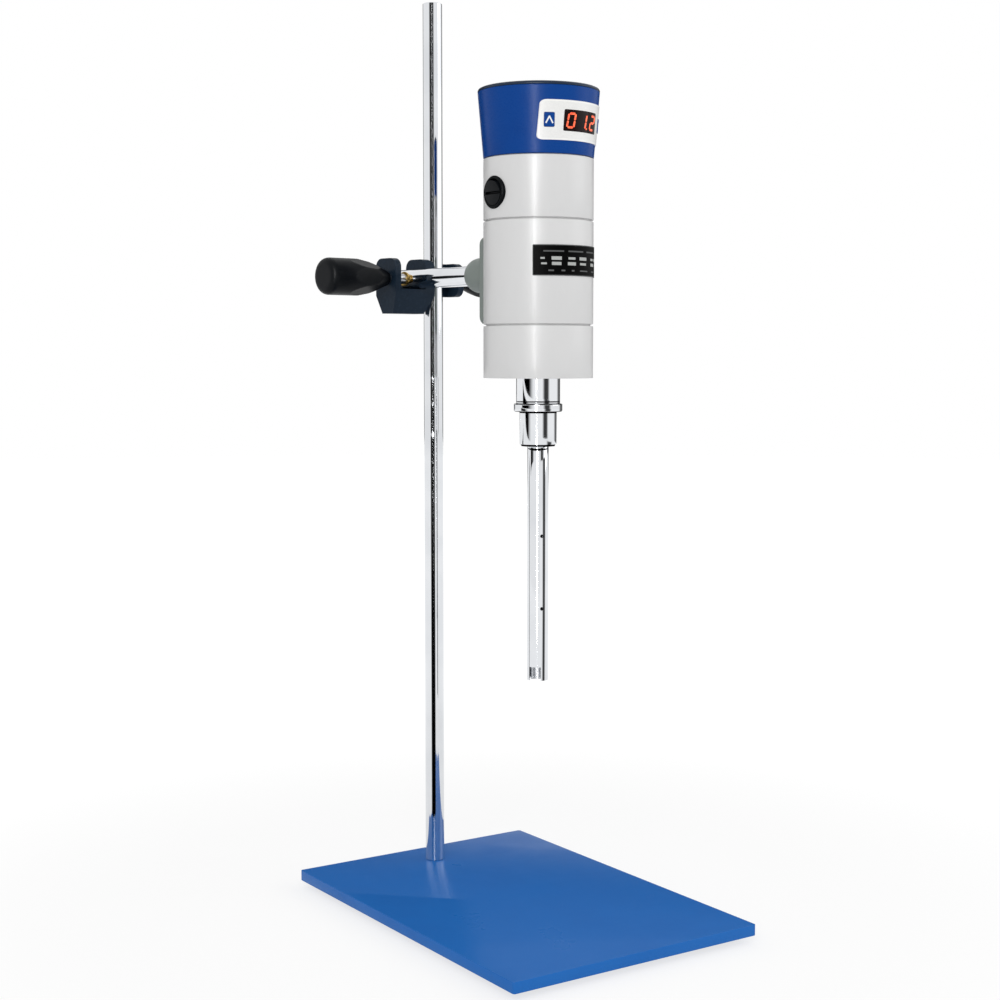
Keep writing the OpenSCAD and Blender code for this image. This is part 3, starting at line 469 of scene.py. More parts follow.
@dataclass(frozen=True)
class DataPlate:
    """Black foil plate with a dim title row, two rows of plain blank bars and a row of small marks."""

    name: str
    wrap: Wrapped
    width: float
    height: float

    def bars(self, across: Term, up: Term, row: float, items: Sequence[tuple[float, float, float]]) -> Term:
        """A row of blank bars.

        Args:
            across, up: the place on the plate, in metres from its middle.
            row: height of the row's middle, in millimetres.
            items: middle, width and height of each bar, in millimetres.

        Returns:
            One on a bar, zero elsewhere.
        """
        found: Union[Term, float] = 0.0
        for middle, width, height in items:
            bar = rounded_box(across - middle * MM, up - row * MM, width, height, 0.25).inside(0.12 * MM)
            found = bar.at_least(found)
        return found

    def material(self) -> Material:
        """Build the material."""
        graph = Graph(self.name)
        across, up = self.wrap.spots(graph)
        edge = 1.0 - rounded_box(across, up, self.width - 1.2, self.height - 1.2, 0.6).inside()
        title = self.bars(across, up, 6.2, [(-22, 15, 1.0), (-4, 14, 1.0), (13, 12, 1.0), (27, 8, 1.0)])
        upper = self.bars(across, up, 1.3, [(-30, 3.0, 1.3), (-20, 7.5, 2.4), (-8, 6, 1.6), (3, 8, 2.2),
                                            (16, 5, 1.6), (25, 9, 2.0)])
        lower = self.bars(across, up, -2.4, [(-29, 4.0, 1.3), (-20, 7, 2.2), (-8, 7, 2.2), (3, 7, 1.6),
                                             (17, 7, 2.2), (27, 6, 1.6)])
        foot = self.bars(across, up, -7.2, [(-24, 4, 1.1), (-15, 3, 1.1), (-7, 2.4, 1.1), (4, 9, 0.9),
                                            (18, 6, 0.9), (28, 4, 1.1)])
        speck = graph.noise(graph.place(), 900.0, 2.0)
        black = graph.blend(speck.fades(0.4, 0.6), paint(1, 1, 1), paint(4, 4, 4))
        colour = graph.blend(upper.at_least(lower), black, paint(178, 180, 178))
        dim = (title * 0.4).at_least(foot * 0.45).at_least(edge * 0.35)
        colour = graph.blend(dim, colour, paint(140, 142, 142))
        return graph.finish(Base_Color=colour, Roughness=speck.fades(0.3, 0.7, 0.4, 0.5),
                            Normal=graph.relief(speck, 0.003 * MM), Specular_IOR_Level=0.03)


@dataclass(frozen=True)
class Lit:
    """A glowing segment, its glow varied by fine speckled noise."""

    name: str
    colour: Colour
    strength: float

    def material(self) -> Material:
        """Build the material."""
        graph = Graph(self.name)
        speck = graph.noise(graph.place(), 700.0, 2.0)
        glow = graph.blend(speck.fades(0.3, 0.7), self.colour, paint(255, 120, 70))
        return graph.finish(Base_Color=paint(60, 10, 5), Roughness=0.4, Emission_Color=glow,
                            Emission_Strength=self.strength)


@dataclass(frozen=True)
class Ground:
    """The floor: white to the camera, to metal and to glass, and plain paint near the object for its shadow."""

    name: str
    colour: Colour
    glow: float
    near: float
    far: float

    def material(self) -> Material:
        """Build the material."""
        graph = Graph(self.name)
        path = graph.node("ShaderNodeLightPath").outputs
        seen = Term(graph, path["Is Camera Ray"]).at_least(Term(graph, path["Is Glossy Ray"]))
        seen = seen.at_least(Term(graph, path["Is Transmission Ray"]))
        x, y, _ = graph.parts(graph.place())
        share = (x * x + y * y).math("SQRT").fades(0.25, 0.9, self.near, self.far)
        base = graph.node("ShaderNodeBsdfDiffuse", {}, {"Color": self.colour})
        glow = graph.node("ShaderNodeEmission", {}, {"Color": (1, 1, 1, 1), "Strength": self.glow})
        mixed = graph.node("ShaderNodeMixShader", {}, {0: seen * share, 1: base.outputs[0], 2: glow.outputs[0]})
        graph.node("ShaderNodeOutputMaterial", {}, {"Surface": mixed.outputs[0]})
        return graph.material


@dataclass(frozen=True)
class SoftCard:
    """A card that gives off an even shade and fades out towards its upright edges."""

    name: str
    centre: Vector
    turn: float
    half: float
    core: float
    shade: float

    def material(self) -> Material:
        """Build the material."""
        graph = Graph(self.name)
        across, _, _ = graph.parts(graph.place(self.centre, self.turn))
        share = across.size().fades(self.half * self.core, self.half, 1.0, 0.0)
        clear = graph.node("ShaderNodeBsdfTransparent")
        grey = (self.shade, self.shade, self.shade, 1)
        glow = graph.node("ShaderNodeEmission", {}, {"Color": grey, "Strength": 1.0})
        mixed = graph.node("ShaderNodeMixShader", {}, {0: share, 1: clear.outputs[0], 2: glow.outputs[0]})
        graph.node("ShaderNodeOutputMaterial", {}, {"Surface": mixed.outputs[0]})
        return graph.material


# ---------- modelling ----------


def set_down() -> None:
    """Leave edit mode and deselect everything."""
    if bpy.context.object is not None and bpy.context.object.mode != "OBJECT":
        bpy.ops.object.mode_set(mode="OBJECT")
    bpy.ops.object.select_all(action="DESELECT")


def pick(piece: Piece) -> Piece:
    """Make a piece the only selected and the active one."""
    set_down()
    piece.select_set(True)
    bpy.context.view_layer.objects.active = piece
    return piece


def edit(piece: Piece) -> None:
    """Enter edit mode on a piece with all of it selected."""
    pick(piece)
    bpy.ops.object.mode_set(mode="EDIT")
    bpy.ops.mesh.select_all(action="SELECT")


def select_edges(piece: Piece, wanted: Callable[[Vector, Vector], bool]) -> None:
    """In edit mode, select the edges that a test on their two ends names."""
    bpy.ops.mesh.select_mode(type="EDGE")
    bpy.ops.mesh.select_all(action="DESELECT")
    mesh = bmesh.from_edit_mesh(piece.data)
    for one in mesh.edges:
        if wanted(one.verts[0].co, one.verts[1].co):
            one.select_set(True)
    bmesh.update_edit_mesh(piece.data)


def eased(outline: Outline, radius: float, steps: int = 3) -> list[tuple[float, float]]:
    """Round the corners of an outline.

    Args:
        outline: points as (radius, height).
        radius: radius of each rounded corner.
        steps: points less one along each corner.

    Returns:
        The outline with arcs at its inner points.
    """
    result = [outline[0]]
    for before, corner, after in zip(outline, outline[1:], outline[2:]):
        here = Vector(corner)
        into, out = Vector(before) - here, Vector(after) - here
        bend = into.angle(out, math.pi)
        if bend > math.radians(172) or corner[0] == 0:
            result.append(corner)
            continue
        reach = min(radius / math.tan(bend / 2), into.length * 0.48, out.length * 0.48)
        start, end = here + into.normalized() * reach, here + out.normalized() * reach
        for i in range(steps + 1):
            t = i / steps
            spot = start * (1 - t) ** 2 + here * 2 * t * (1 - t) + end * t ** 2
            result.append((spot.x, spot.y))
    return result + [outline[-1]]


def turned(name: str, outline: Outline, sides: int = ROUND, bored: bool = False) -> Piece:
    """Turn an outline about Z, ring by ring, from a circle that is extruded and resized.

    Args:
        name: the piece's name.
        outline: (radius, height) of each ring, in millimetres.
        sides: sides of a ring.
        bored: True for an outline that comes back to its first ring, round a through hole.

    Returns:
        The piece.
    """
    set_down()
    (radius, height), *rest = outline
    bpy.ops.mesh.primitive_circle_add(vertices=sides, radius=radius * MM, location=(0, 0, height * MM),
                                      fill_type="NOTHING" if bored else "NGON")
    piece = bpy.context.object
    piece.name = piece.data.name = name
    edit(piece)
    for next_radius, next_height in rest:
        rise = (0, 0, (next_height - height) * MM)
        bpy.ops.mesh.extrude_region_move(TRANSFORM_OT_translate={"value": rise})
        if next_radius == 0:
            bpy.ops.mesh.merge(type="CENTER")
        elif next_radius != radius:
            share = next_radius / radius
            bpy.ops.transform.resize(value=(share, share, 1), center_override=(0, 0, next_height * MM))
        radius, height = next_radius, next_height
    bpy.ops.mesh.select_all(action="SELECT")
    bpy.ops.mesh.remove_doubles(threshold=MERGE)
    bpy.ops.mesh.normals_make_consistent(inside=False)
    set_down()
    return settle(piece)


def block(name: str, low: Sequence[float], high: Sequence[float]) -> Piece:
    """Add a box between two corners, in millimetres."""
    set_down()
    size = [(b - a) * MM for a, b in zip(low, high)]
    middle = [(a + b) / 2 * MM for a, b in zip(low, high)]
    bpy.ops.mesh.primitive_cube_add(size=1, location=middle)
    piece = bpy.context.object
    piece.name = piece.data.name = name
    piece.scale = size
    return settle(piece)


def rod_between(name: str, radius: float, low: float, high: float, sides: int = 48) -> Piece:
    """Add a plain cylinder along Z, in millimetres, as a cutting tool."""
    set_down()
    bpy.ops.mesh.primitive_cylinder_add(vertices=sides, radius=radius * MM, depth=(high - low) * MM,
                                        location=(0, 0, (low + high) / 2 * MM))
    piece = bpy.context.object
    piece.name = piece.data.name = name
    return settle(piece)


def settle(piece: Piece, place: Matrix | None = None) -> Piece:
    """Put a piece's place into its mesh, so that its object sits at the origin.

    Args:
        piece: the piece.
        place: where its own origin goes, or None to keep it.

    Returns:
        The piece.
    """
    pick(piece)
    if place is not None:
        piece.matrix_world = place @ piece.matrix_world
    bpy.ops.object.transform_apply(location=True, rotation=True, scale=True)
    set_down()
    return piece


def modified(piece: Piece, kind: str, **settings) -> Piece:
    """Add one modifier with its settings and apply it."""
    pick(piece)
    tool = piece.modifiers.new(kind.lower(), kind)
    for key, value in settings.items():
        setattr(tool, key, value)
    bpy.ops.object.modifier_apply(modifier=tool.name)
    set_down()
    return piece


def carved(piece: Piece, tool: Piece, operation: str = "DIFFERENCE") -> Piece:
    """Cut, join or intersect a piece with a tool, which is used up."""
    modified(piece, "BOOLEAN", operation=operation, object=tool, solver="EXACT")
    bpy.data.objects.remove(tool)
    return piece


def sliced(piece: Piece, point: Vector, normal: Vector) -> Piece:
    """Cut away what lies past a plane, and close the cut."""
    edit(piece)
    bpy.ops.mesh.bisect(plane_co=point, plane_no=normal, use_fill=True, clear_outer=True)
    set_down()
    return piece


def corners_rounded(piece: Piece, axis: int, radius: float, steps: int = 5) -> Piece:
    """Bevel the edges of a box that run along one axis."""
    edit(piece)
    select_edges(piece, lambda a, b: all(abs(a[i] - b[i]) < MERGE for i in range(3) if i != axis))
    bpy.ops.mesh.bevel(offset=radius * MM, segments=steps, affect="EDGES")
    set_down()
    return piece


def softened(piece: Piece, width: float, steps: int = 3, angle: float = 30) -> Piece:
    """Round the sharp edges of a piece.

    Args:
        piece: the piece.
        width: width of the rounding, in millimetres.
        steps: faces across it.
        angle: edges sharper than this many degrees are rounded.

    Returns:
        The piece.
    """
    return modified(piece, "BEVEL", width=width * MM, segments=steps, limit_method="ANGLE",
                    angle_limit=math.radians(angle), use_clamp_overlap=True)


def smooth(piece: Piece, angle: float = SMOOTH_ANGLE) -> Piece:
    """Shade a piece smooth, apart from edges sharper than an angle."""
    pick(piece)
    bpy.ops.object.shade_smooth_by_angle(angle=angle)
    set_down()
    return piece


def doubled(piece: Piece, name: str, place: Matrix) -> Piece:
    """Copy a piece with its own mesh, and move the copy.

    Args:
        piece: the piece.
        name: the copy's name.
        place: how the copy is moved.

    Returns:
        The copy.
    """
    copy = piece.copy()
    copy.data = piece.data.copy()
    copy.name = copy.data.name = name
    bpy.context.scene.collection.objects.link(copy)
    return settle(copy, place)


def joined(pieces: Sequence[Piece]) -> Piece:
    """Join several pieces into the first."""
    set_down()
    for piece in pieces:
        piece.select_set(True)
    bpy.context.view_layer.objects.active = pieces[0]
    bpy.ops.object.join()
    set_down()
    return pieces[0]


def softened_copy(node: str, name: str, width: float) -> Piece:
    """Copy a CAD node's solid, merge it and round its edges.

    Args:
        node: the CAD node.
        name: the copy's name.
        width: width of the rounding, in millimetres.

    Returns:
        The copy.
    """
    source = frame["nodes"][node]
    copy = bpy.data.objects.new(name, source.data.copy())
    copy.data.name = name
    bpy.context.scene.collection.objects.link(copy)
    edit(copy)
    bpy.ops.mesh.remove_doubles(threshold=MERGE)
    bpy.ops.mesh.dissolve_limited(angle_limit=math.radians(1))
    set_down()
    return smooth(softened(copy, width))


def dress(piece: Piece, finish, body: str, slot: str, *nodes: str) -> Piece:
    """Give a finished piece its material, its body and the CAD nodes that it stands for.

    Args:
        piece: the piece.
        finish: a finish with a material method.
        body: the CAD body that it rides on.
        slot: the record's material slot; not used.
        nodes: the CAD nodes that it replaces.

    Returns:
        The piece.
    """
    piece.data.materials.clear()
    piece.data.materials.append(stock(finish))
    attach(piece, body)
    if nodes:
        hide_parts(*nodes)
    log.info("%s rides on %s with %s, %d faces", piece.name, body, finish.name, len(piece.data.polygons))
    return piece


STOCK: dict[str, Material] = {}


def stock(finish) -> Material:
    """The material of a finish, built once."""
    if finish.name not in STOCK:
        STOCK[finish.name] = finish.material()
    return STOCK[finish.name]


# ---------- places ----------


def middle_of(node: str) -> Vector:
    """Middle of a CAD node's box, in metres."""
    low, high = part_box(node)
    return (low + high) / 2


def joint(name: str) -> dict:
    """One joint of the record."""
    return next(one for one in frame["joints"] if one["name"] == name)


def turn_z(angle: float) -> Matrix:
    """A turn about Z, in radians."""
    return Matrix.Rotation(angle, 4, "Z")


def turn_x(degrees: float) -> Matrix:
    """A turn about X, in degrees."""
    return Matrix.Rotation(math.radians(degrees), 4, "X")


def turn_y(degrees: float) -> Matrix:
    """A turn about Y, in degrees."""
    return Matrix.Rotation(math.radians(degrees), 4, "Y")


def shift(x: float = 0.0, y: float = 0.0, z: float = 0.0) -> Matrix:
    """A move, in millimetres."""
    return Matrix.Translation((x * MM, y * MM, z * MM))


ARM_LINE = joint("arm_reach")["axis"]
SWING = math.atan2(ARM_LINE[0], -ARM_LINE[1])
TOOL_FOOT = middle_of("stator_tube")
BODY_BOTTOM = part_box("lower_shell")[0].z
ROD_PLACE = middle_of("stand_rod")
ARM_HEIGHT = middle_of("support_arm").z
FACE_TURN = SWING + math.radians(5.5)
SADDLE = Matrix.Translation((TOOL_FOOT.x, TOOL_FOOT.y, BODY_BOTTOM)) @ turn_z(SWING)
UNIT = Matrix.Translation((TOOL_FOOT.x, TOOL_FOOT.y, BODY_BOTTOM)) @ turn_z(FACE_TURN)
CLAMP = Matrix.Translation((ROD_PLACE.x, ROD_PLACE.y, ARM_HEIGHT)) @ turn_z(SWING)


def facing(angle: float, height: float) -> Matrix:
    """A place on the tool's axis whose Z looks out of the body at an angle from the display."""
    return UNIT @ shift(z=height) @ turn_z(math.radians(angle)) @ turn_x(90)


# ---------- finishes of this object ----------

BLUE_ENAMEL = Enamel("blue_enamel", paint(36, 108, 188), paint(33, 101, 180), gloss=0.05, rough=0.3,
                     coat_rough=0.05, peel=0.004, specular=0.08)
WHITE_ENAMEL = Enamel("white_enamel", paint(217, 217, 217), paint(213, 213, 213), gloss=0.1, rough=0.34,
                      coat_rough=0.16, peel=0.006, specular=0.3)
GREY_PAINT = Enamel("grey_paint", paint(128, 136, 132), paint(118, 126, 122), gloss=0.0, rough=0.42,
                    coat_rough=0.25, peel=0.02, specular=0.25)
NAVY_CASTING = CastPaint("navy_casting", paint(22, 36, 50), paint(34, 48, 64))
BRIGHT_CHROME = Metal("bright_chrome", paint(224, 226, 229), paint(210, 213, 217), rough=0.06)
TURNED_STEEL = Metal("turned_steel", paint(196, 198, 201), paint(176, 178, 182), rough=0.3, lines=0.01)
SPRING_STEEL = Metal("spring_steel", paint(150, 152, 156), paint(128, 130, 134), rough=0.35, lines=0.005)
SHEET_STEEL = Metal("sheet_steel", paint(188, 190, 192), paint(168, 170, 174), rough=0.38, lines=0.006,
                    grain=Grain.UPRIGHT)
BRASS = Metal("machined_brass", paint(206, 170, 96), paint(186, 150, 80), rough=0.28, lines=0.008)
COPPER_BARS = Metal("copper_bars", paint(196, 122, 82), paint(164, 96, 64), rough=0.3, lines=0.01,
                    grain=Grain.UPRIGHT)
BLACK_KNOB = Moulding("black_knob", paint(8, 11, 15), paint(12, 15, 19), rough=0.36, grain=0.02, specular=0.1)
BLACK_MOULDING = Moulding("black_moulding", paint(5, 8, 11), paint(9, 12, 15), rough=0.4, grain=0.02,
                          specular=0.06)
LID_MOULDING = Moulding("lid_moulding", paint(24, 40, 60), paint(30, 46, 66), rough=0.34, grain=0.01,
                        specular=0.2)
BLACK_RUBBER = Moulding("black_rubber", paint(22, 22, 24), paint(32, 32, 34), rough=0.72, grain=0.05)
BLUE_MOULDING = Moulding("blue_moulding", paint(12, 66, 142), paint(11, 61, 134), rough=0.28, grain=0.006,
                         gloss=0.0, specular=0.08)
WHITE_PRINT = Moulding("white_print", paint(242, 242, 240), paint(232, 232, 230), rough=0.45, grain=0.004)
CARBON = Moulding("pressed_carbon", paint(38, 38, 40), paint(54, 54, 56), rough=0.6, grain=0.06)
BEARING_PLASTIC = Moulding("bearing_plastic", paint(236, 232, 216), paint(224, 220, 202), rough=0.5)
TINTED_WINDOW = Moulding("tinted_window", paint(24, 8, 8), paint(18, 6, 6), rough=0.14, grain=0.001, gloss=0.05,
                         specular=0.05)
DISPLAY_BLACK = Moulding("display_black", paint(26, 24, 26), paint(34, 32, 34), rough=0.5)
SOLDER_MASK = Moulding("solder_mask", paint(18, 92, 52), paint(14, 78, 44), rough=0.32, grain=0.01, gloss=0.4)
LAMINATIONS = Stacked("laminations", paint(110, 110, 112), paint(40, 40, 42), pitch=0.5, metallic=1.0)
ENAMELLED_WIRE = Stacked("enamelled_wire", paint(176, 92, 48), paint(84, 36, 18), pitch=0.6, metallic=0.6,
                         rough=0.3)
LIT_SEGMENT = Lit("lit_segment", paint(255, 74, 34), 1.25)


# ---------- sub-assemblies ----------


@dataclass
class Stand:
    """Painted plate on four rubber feet, with the polished rod."""

    corner: float = 2.0
    edge: float = 0.9
    foot_d: float = 19.0
    foot_h: float = 6.0
    foot_recess: float = 4.75
    rod_d: float = 15.0
    pocket_d: float = 14.2
    pocket_h: float = 4.0

    def plate(self) -> Piece:
        """Model the plate with rounded corners, eased edges and its screw pocket."""
        low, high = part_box("base_plate")
        piece = block("plate_body", low / MM, high / MM)
        corners_rounded(piece, 2, self.corner)
        pocket = rod_between("pocket", self.pocket_d / 2, -1, self.pocket_h)
        carved(piece, settle(pocket, Matrix.Translation((ROD_PLACE.x, ROD_PLACE.y, low.z))))
        return smooth(softened(piece, self.edge))

    def foot(self) -> Piece:
        """Model one foot at the origin: a tapered pad with a recess for its screw."""
        r = self.foot_d / 2
        outline = [(self.foot_recess, 0), (r - 2, 0), (r, 2), (r, self.foot_h), (2, self.foot_h),
                   (2, 3.6), (self.foot_recess, 3.6), (self.foot_recess, 0)]
        return smooth(turned("rubber_foot_1", eased(outline, 0.5), 64, bored=True))

    def rod(self) -> Piece:
        """Model the rod with an eased top edge and a countersunk foot."""
        low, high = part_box("stand_rod")
        bottom, top, r = low.z / MM, high.z / MM, self.rod_d / 2
        outline = [(4, bottom), (r - 0.4, bottom), (r, bottom + 0.4), (r, top - 0.5), (r - 0.5, top), (0, top)]
        first = [(4, bottom + 18)] + outline
        piece = turned("rod_body", eased(first, 0.35), 96)
        return smooth(settle(piece, Matrix.Translation((ROD_PLACE.x, ROD_PLACE.y, 0))))

    def build(self) -> None:
        """Build and dress the stand."""
        dress(self.plate(), BLUE_ENAMEL, "base", "plate_paint", "base_plate")
        low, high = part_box("rubber_feet")
        reach = Vector((high.x - self.foot_d / 2 * MM, high.y - self.foot_d / 2 * MM, 0))
        master = self.foot()
        places = [(-1, -1), (1, -1), (-1, 1), (1, 1)]
        for number, (side, end) in enumerate(places[1:], start=2):
            place = Matrix.Translation((side * reach.x, end * reach.y, low.z))
            foot = doubled(master, f"rubber_foot_{number}", place)
            dress(foot, BLACK_RUBBER, "base", "rubber", "rubber_feet")
        settle(master, Matrix.Translation((-reach.x, -reach.y, low.z)))
        dress(master, BLACK_RUBBER, "base", "rubber", "rubber_feet")
        dress(self.rod(), BRIGHT_CHROME, "rod", "chrome", "stand_rod")


@dataclass
class Clamp:
    """Two-jaw casting with its two knobs. Its own frame has the rod along Z and the arm along Y."""

    arm_offset: float = 18.0
    bar_d: float = 15.0
    front: float = -7.5
    back: float = 17.5
    arm_side: float = -43.0
    arm_wall: float = -37.5
    flank: float = 4.5
    rod_side: float = 25.0
    rod_wall: float = 19.5
    top: float = 15.5
    drop: float = -27.0
    half_h: float = 13.0
    corner: float = 7.0
    foot_in: float = 4.0
    foot_back: float = 8.0
    foot_side: float = 8.0
    screw_y: float = 2.0
    screw_hole_r: float = 4.05
    drill_reach: float = 11.0
    bar_gap: float = 0.05
    channel_gap: float = 0.5
    easing: float = 1.0
    knob_d: float = 28.0
    knob_l: float = 59.5
    knob_taper: float = 22.0
    tip_r: float = 5.5
    facet: float = 2.3
    facet_share: float = 0.66
    facets: int = 6
    tip_gap: float = 19.0
    knob_bore: tuple[float, float] = (4.1, 26.0)
    knob_round: float = 5.5

    def rounded(self, piece: Piece, *heights: float) -> Piece:
        """Round a jaw's long edges at some heights, in millimetres."""
        edit(piece)
        select_edges(piece, lambda a, b: abs(a.x - b.x) > MERGE and abs(a.y - b.y) < MERGE and any(
            abs(a.z - z * MM) < MERGE and abs(b.z - z * MM) < MERGE for z in heights))
        bpy.ops.mesh.bevel(offset=self.corner * MM, segments=8, affect="EDGES")
        set_down()
        return piece

    def foot_cut(self, piece: Piece, x: float, y: float, normal: Sequence[float]) -> Piece:
        """Slice one slanted face of the arm jaw's foot.

        Args:
            piece: the jaw.
            x, y: where the slanted face starts, at the bottom of the rod's jaw, in millimetres.
            normal: direction that the face looks in.

        Returns:
            The jaw.
        """
        return sliced(piece, Vector((x, y, -self.half_h)) * MM, Vector(normal).normalized())

    def casting(self) -> Piece:
        """Model the casting: two rounded jaws, the slanted foot, their channels and the grooves of the bars."""
        fall = self.drop + self.half_h
        arm_jaw = block("casting", (self.arm_side, self.front, self.drop), (-self.flank, self.back, self.top))
        self.rounded(arm_jaw, self.top)
        self.foot_cut(arm_jaw, 0, self.front, (0, fall, -self.foot_in))
        self.foot_cut(arm_jaw, 0, self.back, (0, -fall, -self.foot_back))
        self.foot_cut(arm_jaw, -self.flank, 0, (-fall, 0, -self.foot_side))
        rod_jaw = block("rod_jaw", (-self.arm_offset + self.flank, self.front, -self.half_h),
                        (self.rod_side, self.back, self.half_h))
        self.rounded(rod_jaw, -self.half_h, self.half_h)
        carved(arm_jaw, rod_jaw, "UNION")
        far = 60.0
        bar = self.bar_d / 2
        flat, groove_r, steps = bar + self.channel_gap, bar + self.bar_gap, 96
        arm_low, arm_high = (self.arm_wall, -far, -flat), (-self.arm_offset + self.flank, far, far)
        carved(arm_jaw, block("arm_channel", arm_low, arm_high))
        carved(arm_jaw, block("rod_channel", (-self.flank, -far, -far), (self.rod_wall, flat, far)))
        groove = settle(rod_between("groove", groove_r, -far, far, steps), turn_x(90))
        carved(arm_jaw, settle(groove, shift(x=-self.arm_offset)))
        carved(arm_jaw, rod_between("rod_groove", groove_r, -far, far, steps))
        reach = self.drill_reach
        for x, y in ((self.arm_side, self.screw_y), (self.rod_side, 0)):
            drill = settle(rod_between("drill", self.screw_hole_r, -reach, reach), turn_y(90))
            carved(arm_jaw, settle(drill, shift(x, y)))
        return smooth(settle(softened(arm_jaw, self.easing), CLAMP))

    def knob(self, name: str) -> Piece:
        """Model a knob along +Z from its tip: a tapered grip with six slanted flats."""
        r, tip = self.knob_d / 2, self.tip_r
        facet_l, facet_in = self.knob_l * self.facet_share, tip + self.facet
        bore_r, bore_deep = self.knob_bore
        grip = [(tip, 0), (r, self.knob_taper), (r, self.knob_l), (0, self.knob_l)]
        piece = turned(name, [(bore_r, bore_deep), (bore_r, 0), *eased(grip, self.knob_round, 8)], 96)
        lean = math.atan2(r - facet_in, facet_l)
        for k in range(self.facets):
            turn = turn_z(math.tau / self.facets * (k + 0.5))
            point = turn @ Vector((facet_in * MM, 0, 0))
            normal = turn @ Vector((math.cos(lean), 0, -math.sin(lean)))
            sliced(piece, point, normal)
        modified(piece, "REMESH", mode="VOXEL", voxel_size=0.42 * MM)
        modified(piece, "SMOOTH", factor=0.5, iterations=6)
        return smooth(piece, math.radians(60))

    def build(self) -> None:
        """Build and dress the clamp."""
        dress(self.casting(), NAVY_CASTING, "clamp", "cast_navy", "clamp_casting")
        bar = self.bar_d / 2
        arm_screw = CLAMP @ shift(-self.arm_offset - bar - self.tip_gap, self.screw_y) @ turn_y(-90)
        rod_screw = CLAMP @ shift(bar + self.tip_gap) @ turn_y(90)
        for name, place, body, node in (("arm_knob_body", arm_screw, "arm_knob", "arm_clamp_knob"),
                                        ("rod_knob_body", rod_screw, "rod_knob", "rod_clamp_knob")):
            dress(settle(self.knob(name), place), BLACK_KNOB, body, "knob_black", node)


@dataclass
class Arm:
    """Polished arm, the grey socket at its end and the saddle plate on the body."""

    offset: float = 18.0
    tail: float = 34.0
    end: float = -98.0
    bar_d: float = 15.0
    socket_d: float = 26.0
    socket_l: float = 20.0
    saddle_back: float = 43.0
    arm_up: float = 75.5
    saddle_up: float = 70.5
    saddle_w: float = 38.0
    saddle_h: float = 64.0
    body_r: float = 39.5

    def bar(self) -> Piece:
        """Model the arm with a chamfer at its free end."""
        r = self.bar_d / 2
        low, high = -self.tail, -self.end
        outline = [(r - 1, low), (r, low + 1), (r, high - 0.3), (r - 0.3, high)]
        piece = turned("arm_bar", eased(outline, 0.3), 96)
        return smooth(settle(piece, CLAMP @ shift(-self.offset) @ turn_x(90)))

    def socket(self) -> Piece:
        """Model the socket: a short barrel with a half-ball end, bored for the arm."""
        r, mouth = self.socket_d / 2, self.bar_d / 2 + 0.05
        stop = math.acos((mouth + 0.5) / r)
        ball = [(r * math.cos(a), self.socket_l + r * math.sin(a)) for a in (stop * i / 12 for i in range(13))]
        outline = [(r - 0.6, 0), (r, 0.6), *ball, (mouth, ball[-1][1]), (mouth, 1.7)]
        piece = turned("socket_body", outline, 96)
        return smooth(settle(piece, SADDLE @ shift(y=self.saddle_back, z=self.arm_up) @ turn_x(-90)))

    def saddle(self) -> Piece:
        """Model the saddle plate: a thick rounded plate, hollowed to sit on the drum."""
        w, h = self.saddle_w / 2, self.saddle_h / 2
        low, high = self.saddle_up - h, self.saddle_up + h
        piece = block("saddle_body", (-w, self.body_r / 2, low), (w, self.saddle_back, high))
        corners_rounded(piece, 1, 6.0)
        carved(piece, rod_between("drum", self.body_r, 0, 150, 192))
        return smooth(settle(softened(piece, 0.7), SADDLE))

    def build(self) -> None:
        """Build and dress the arm."""
        dress(self.bar(), BRIGHT_CHROME, "arm", "chrome", "support_arm")
        dress(self.socket(), GREY_PAINT, "unit", "socket_grey", "arm_socket")
        dress(self.saddle(), GREY_PAINT, "unit", "socket_grey", "saddle_plate")


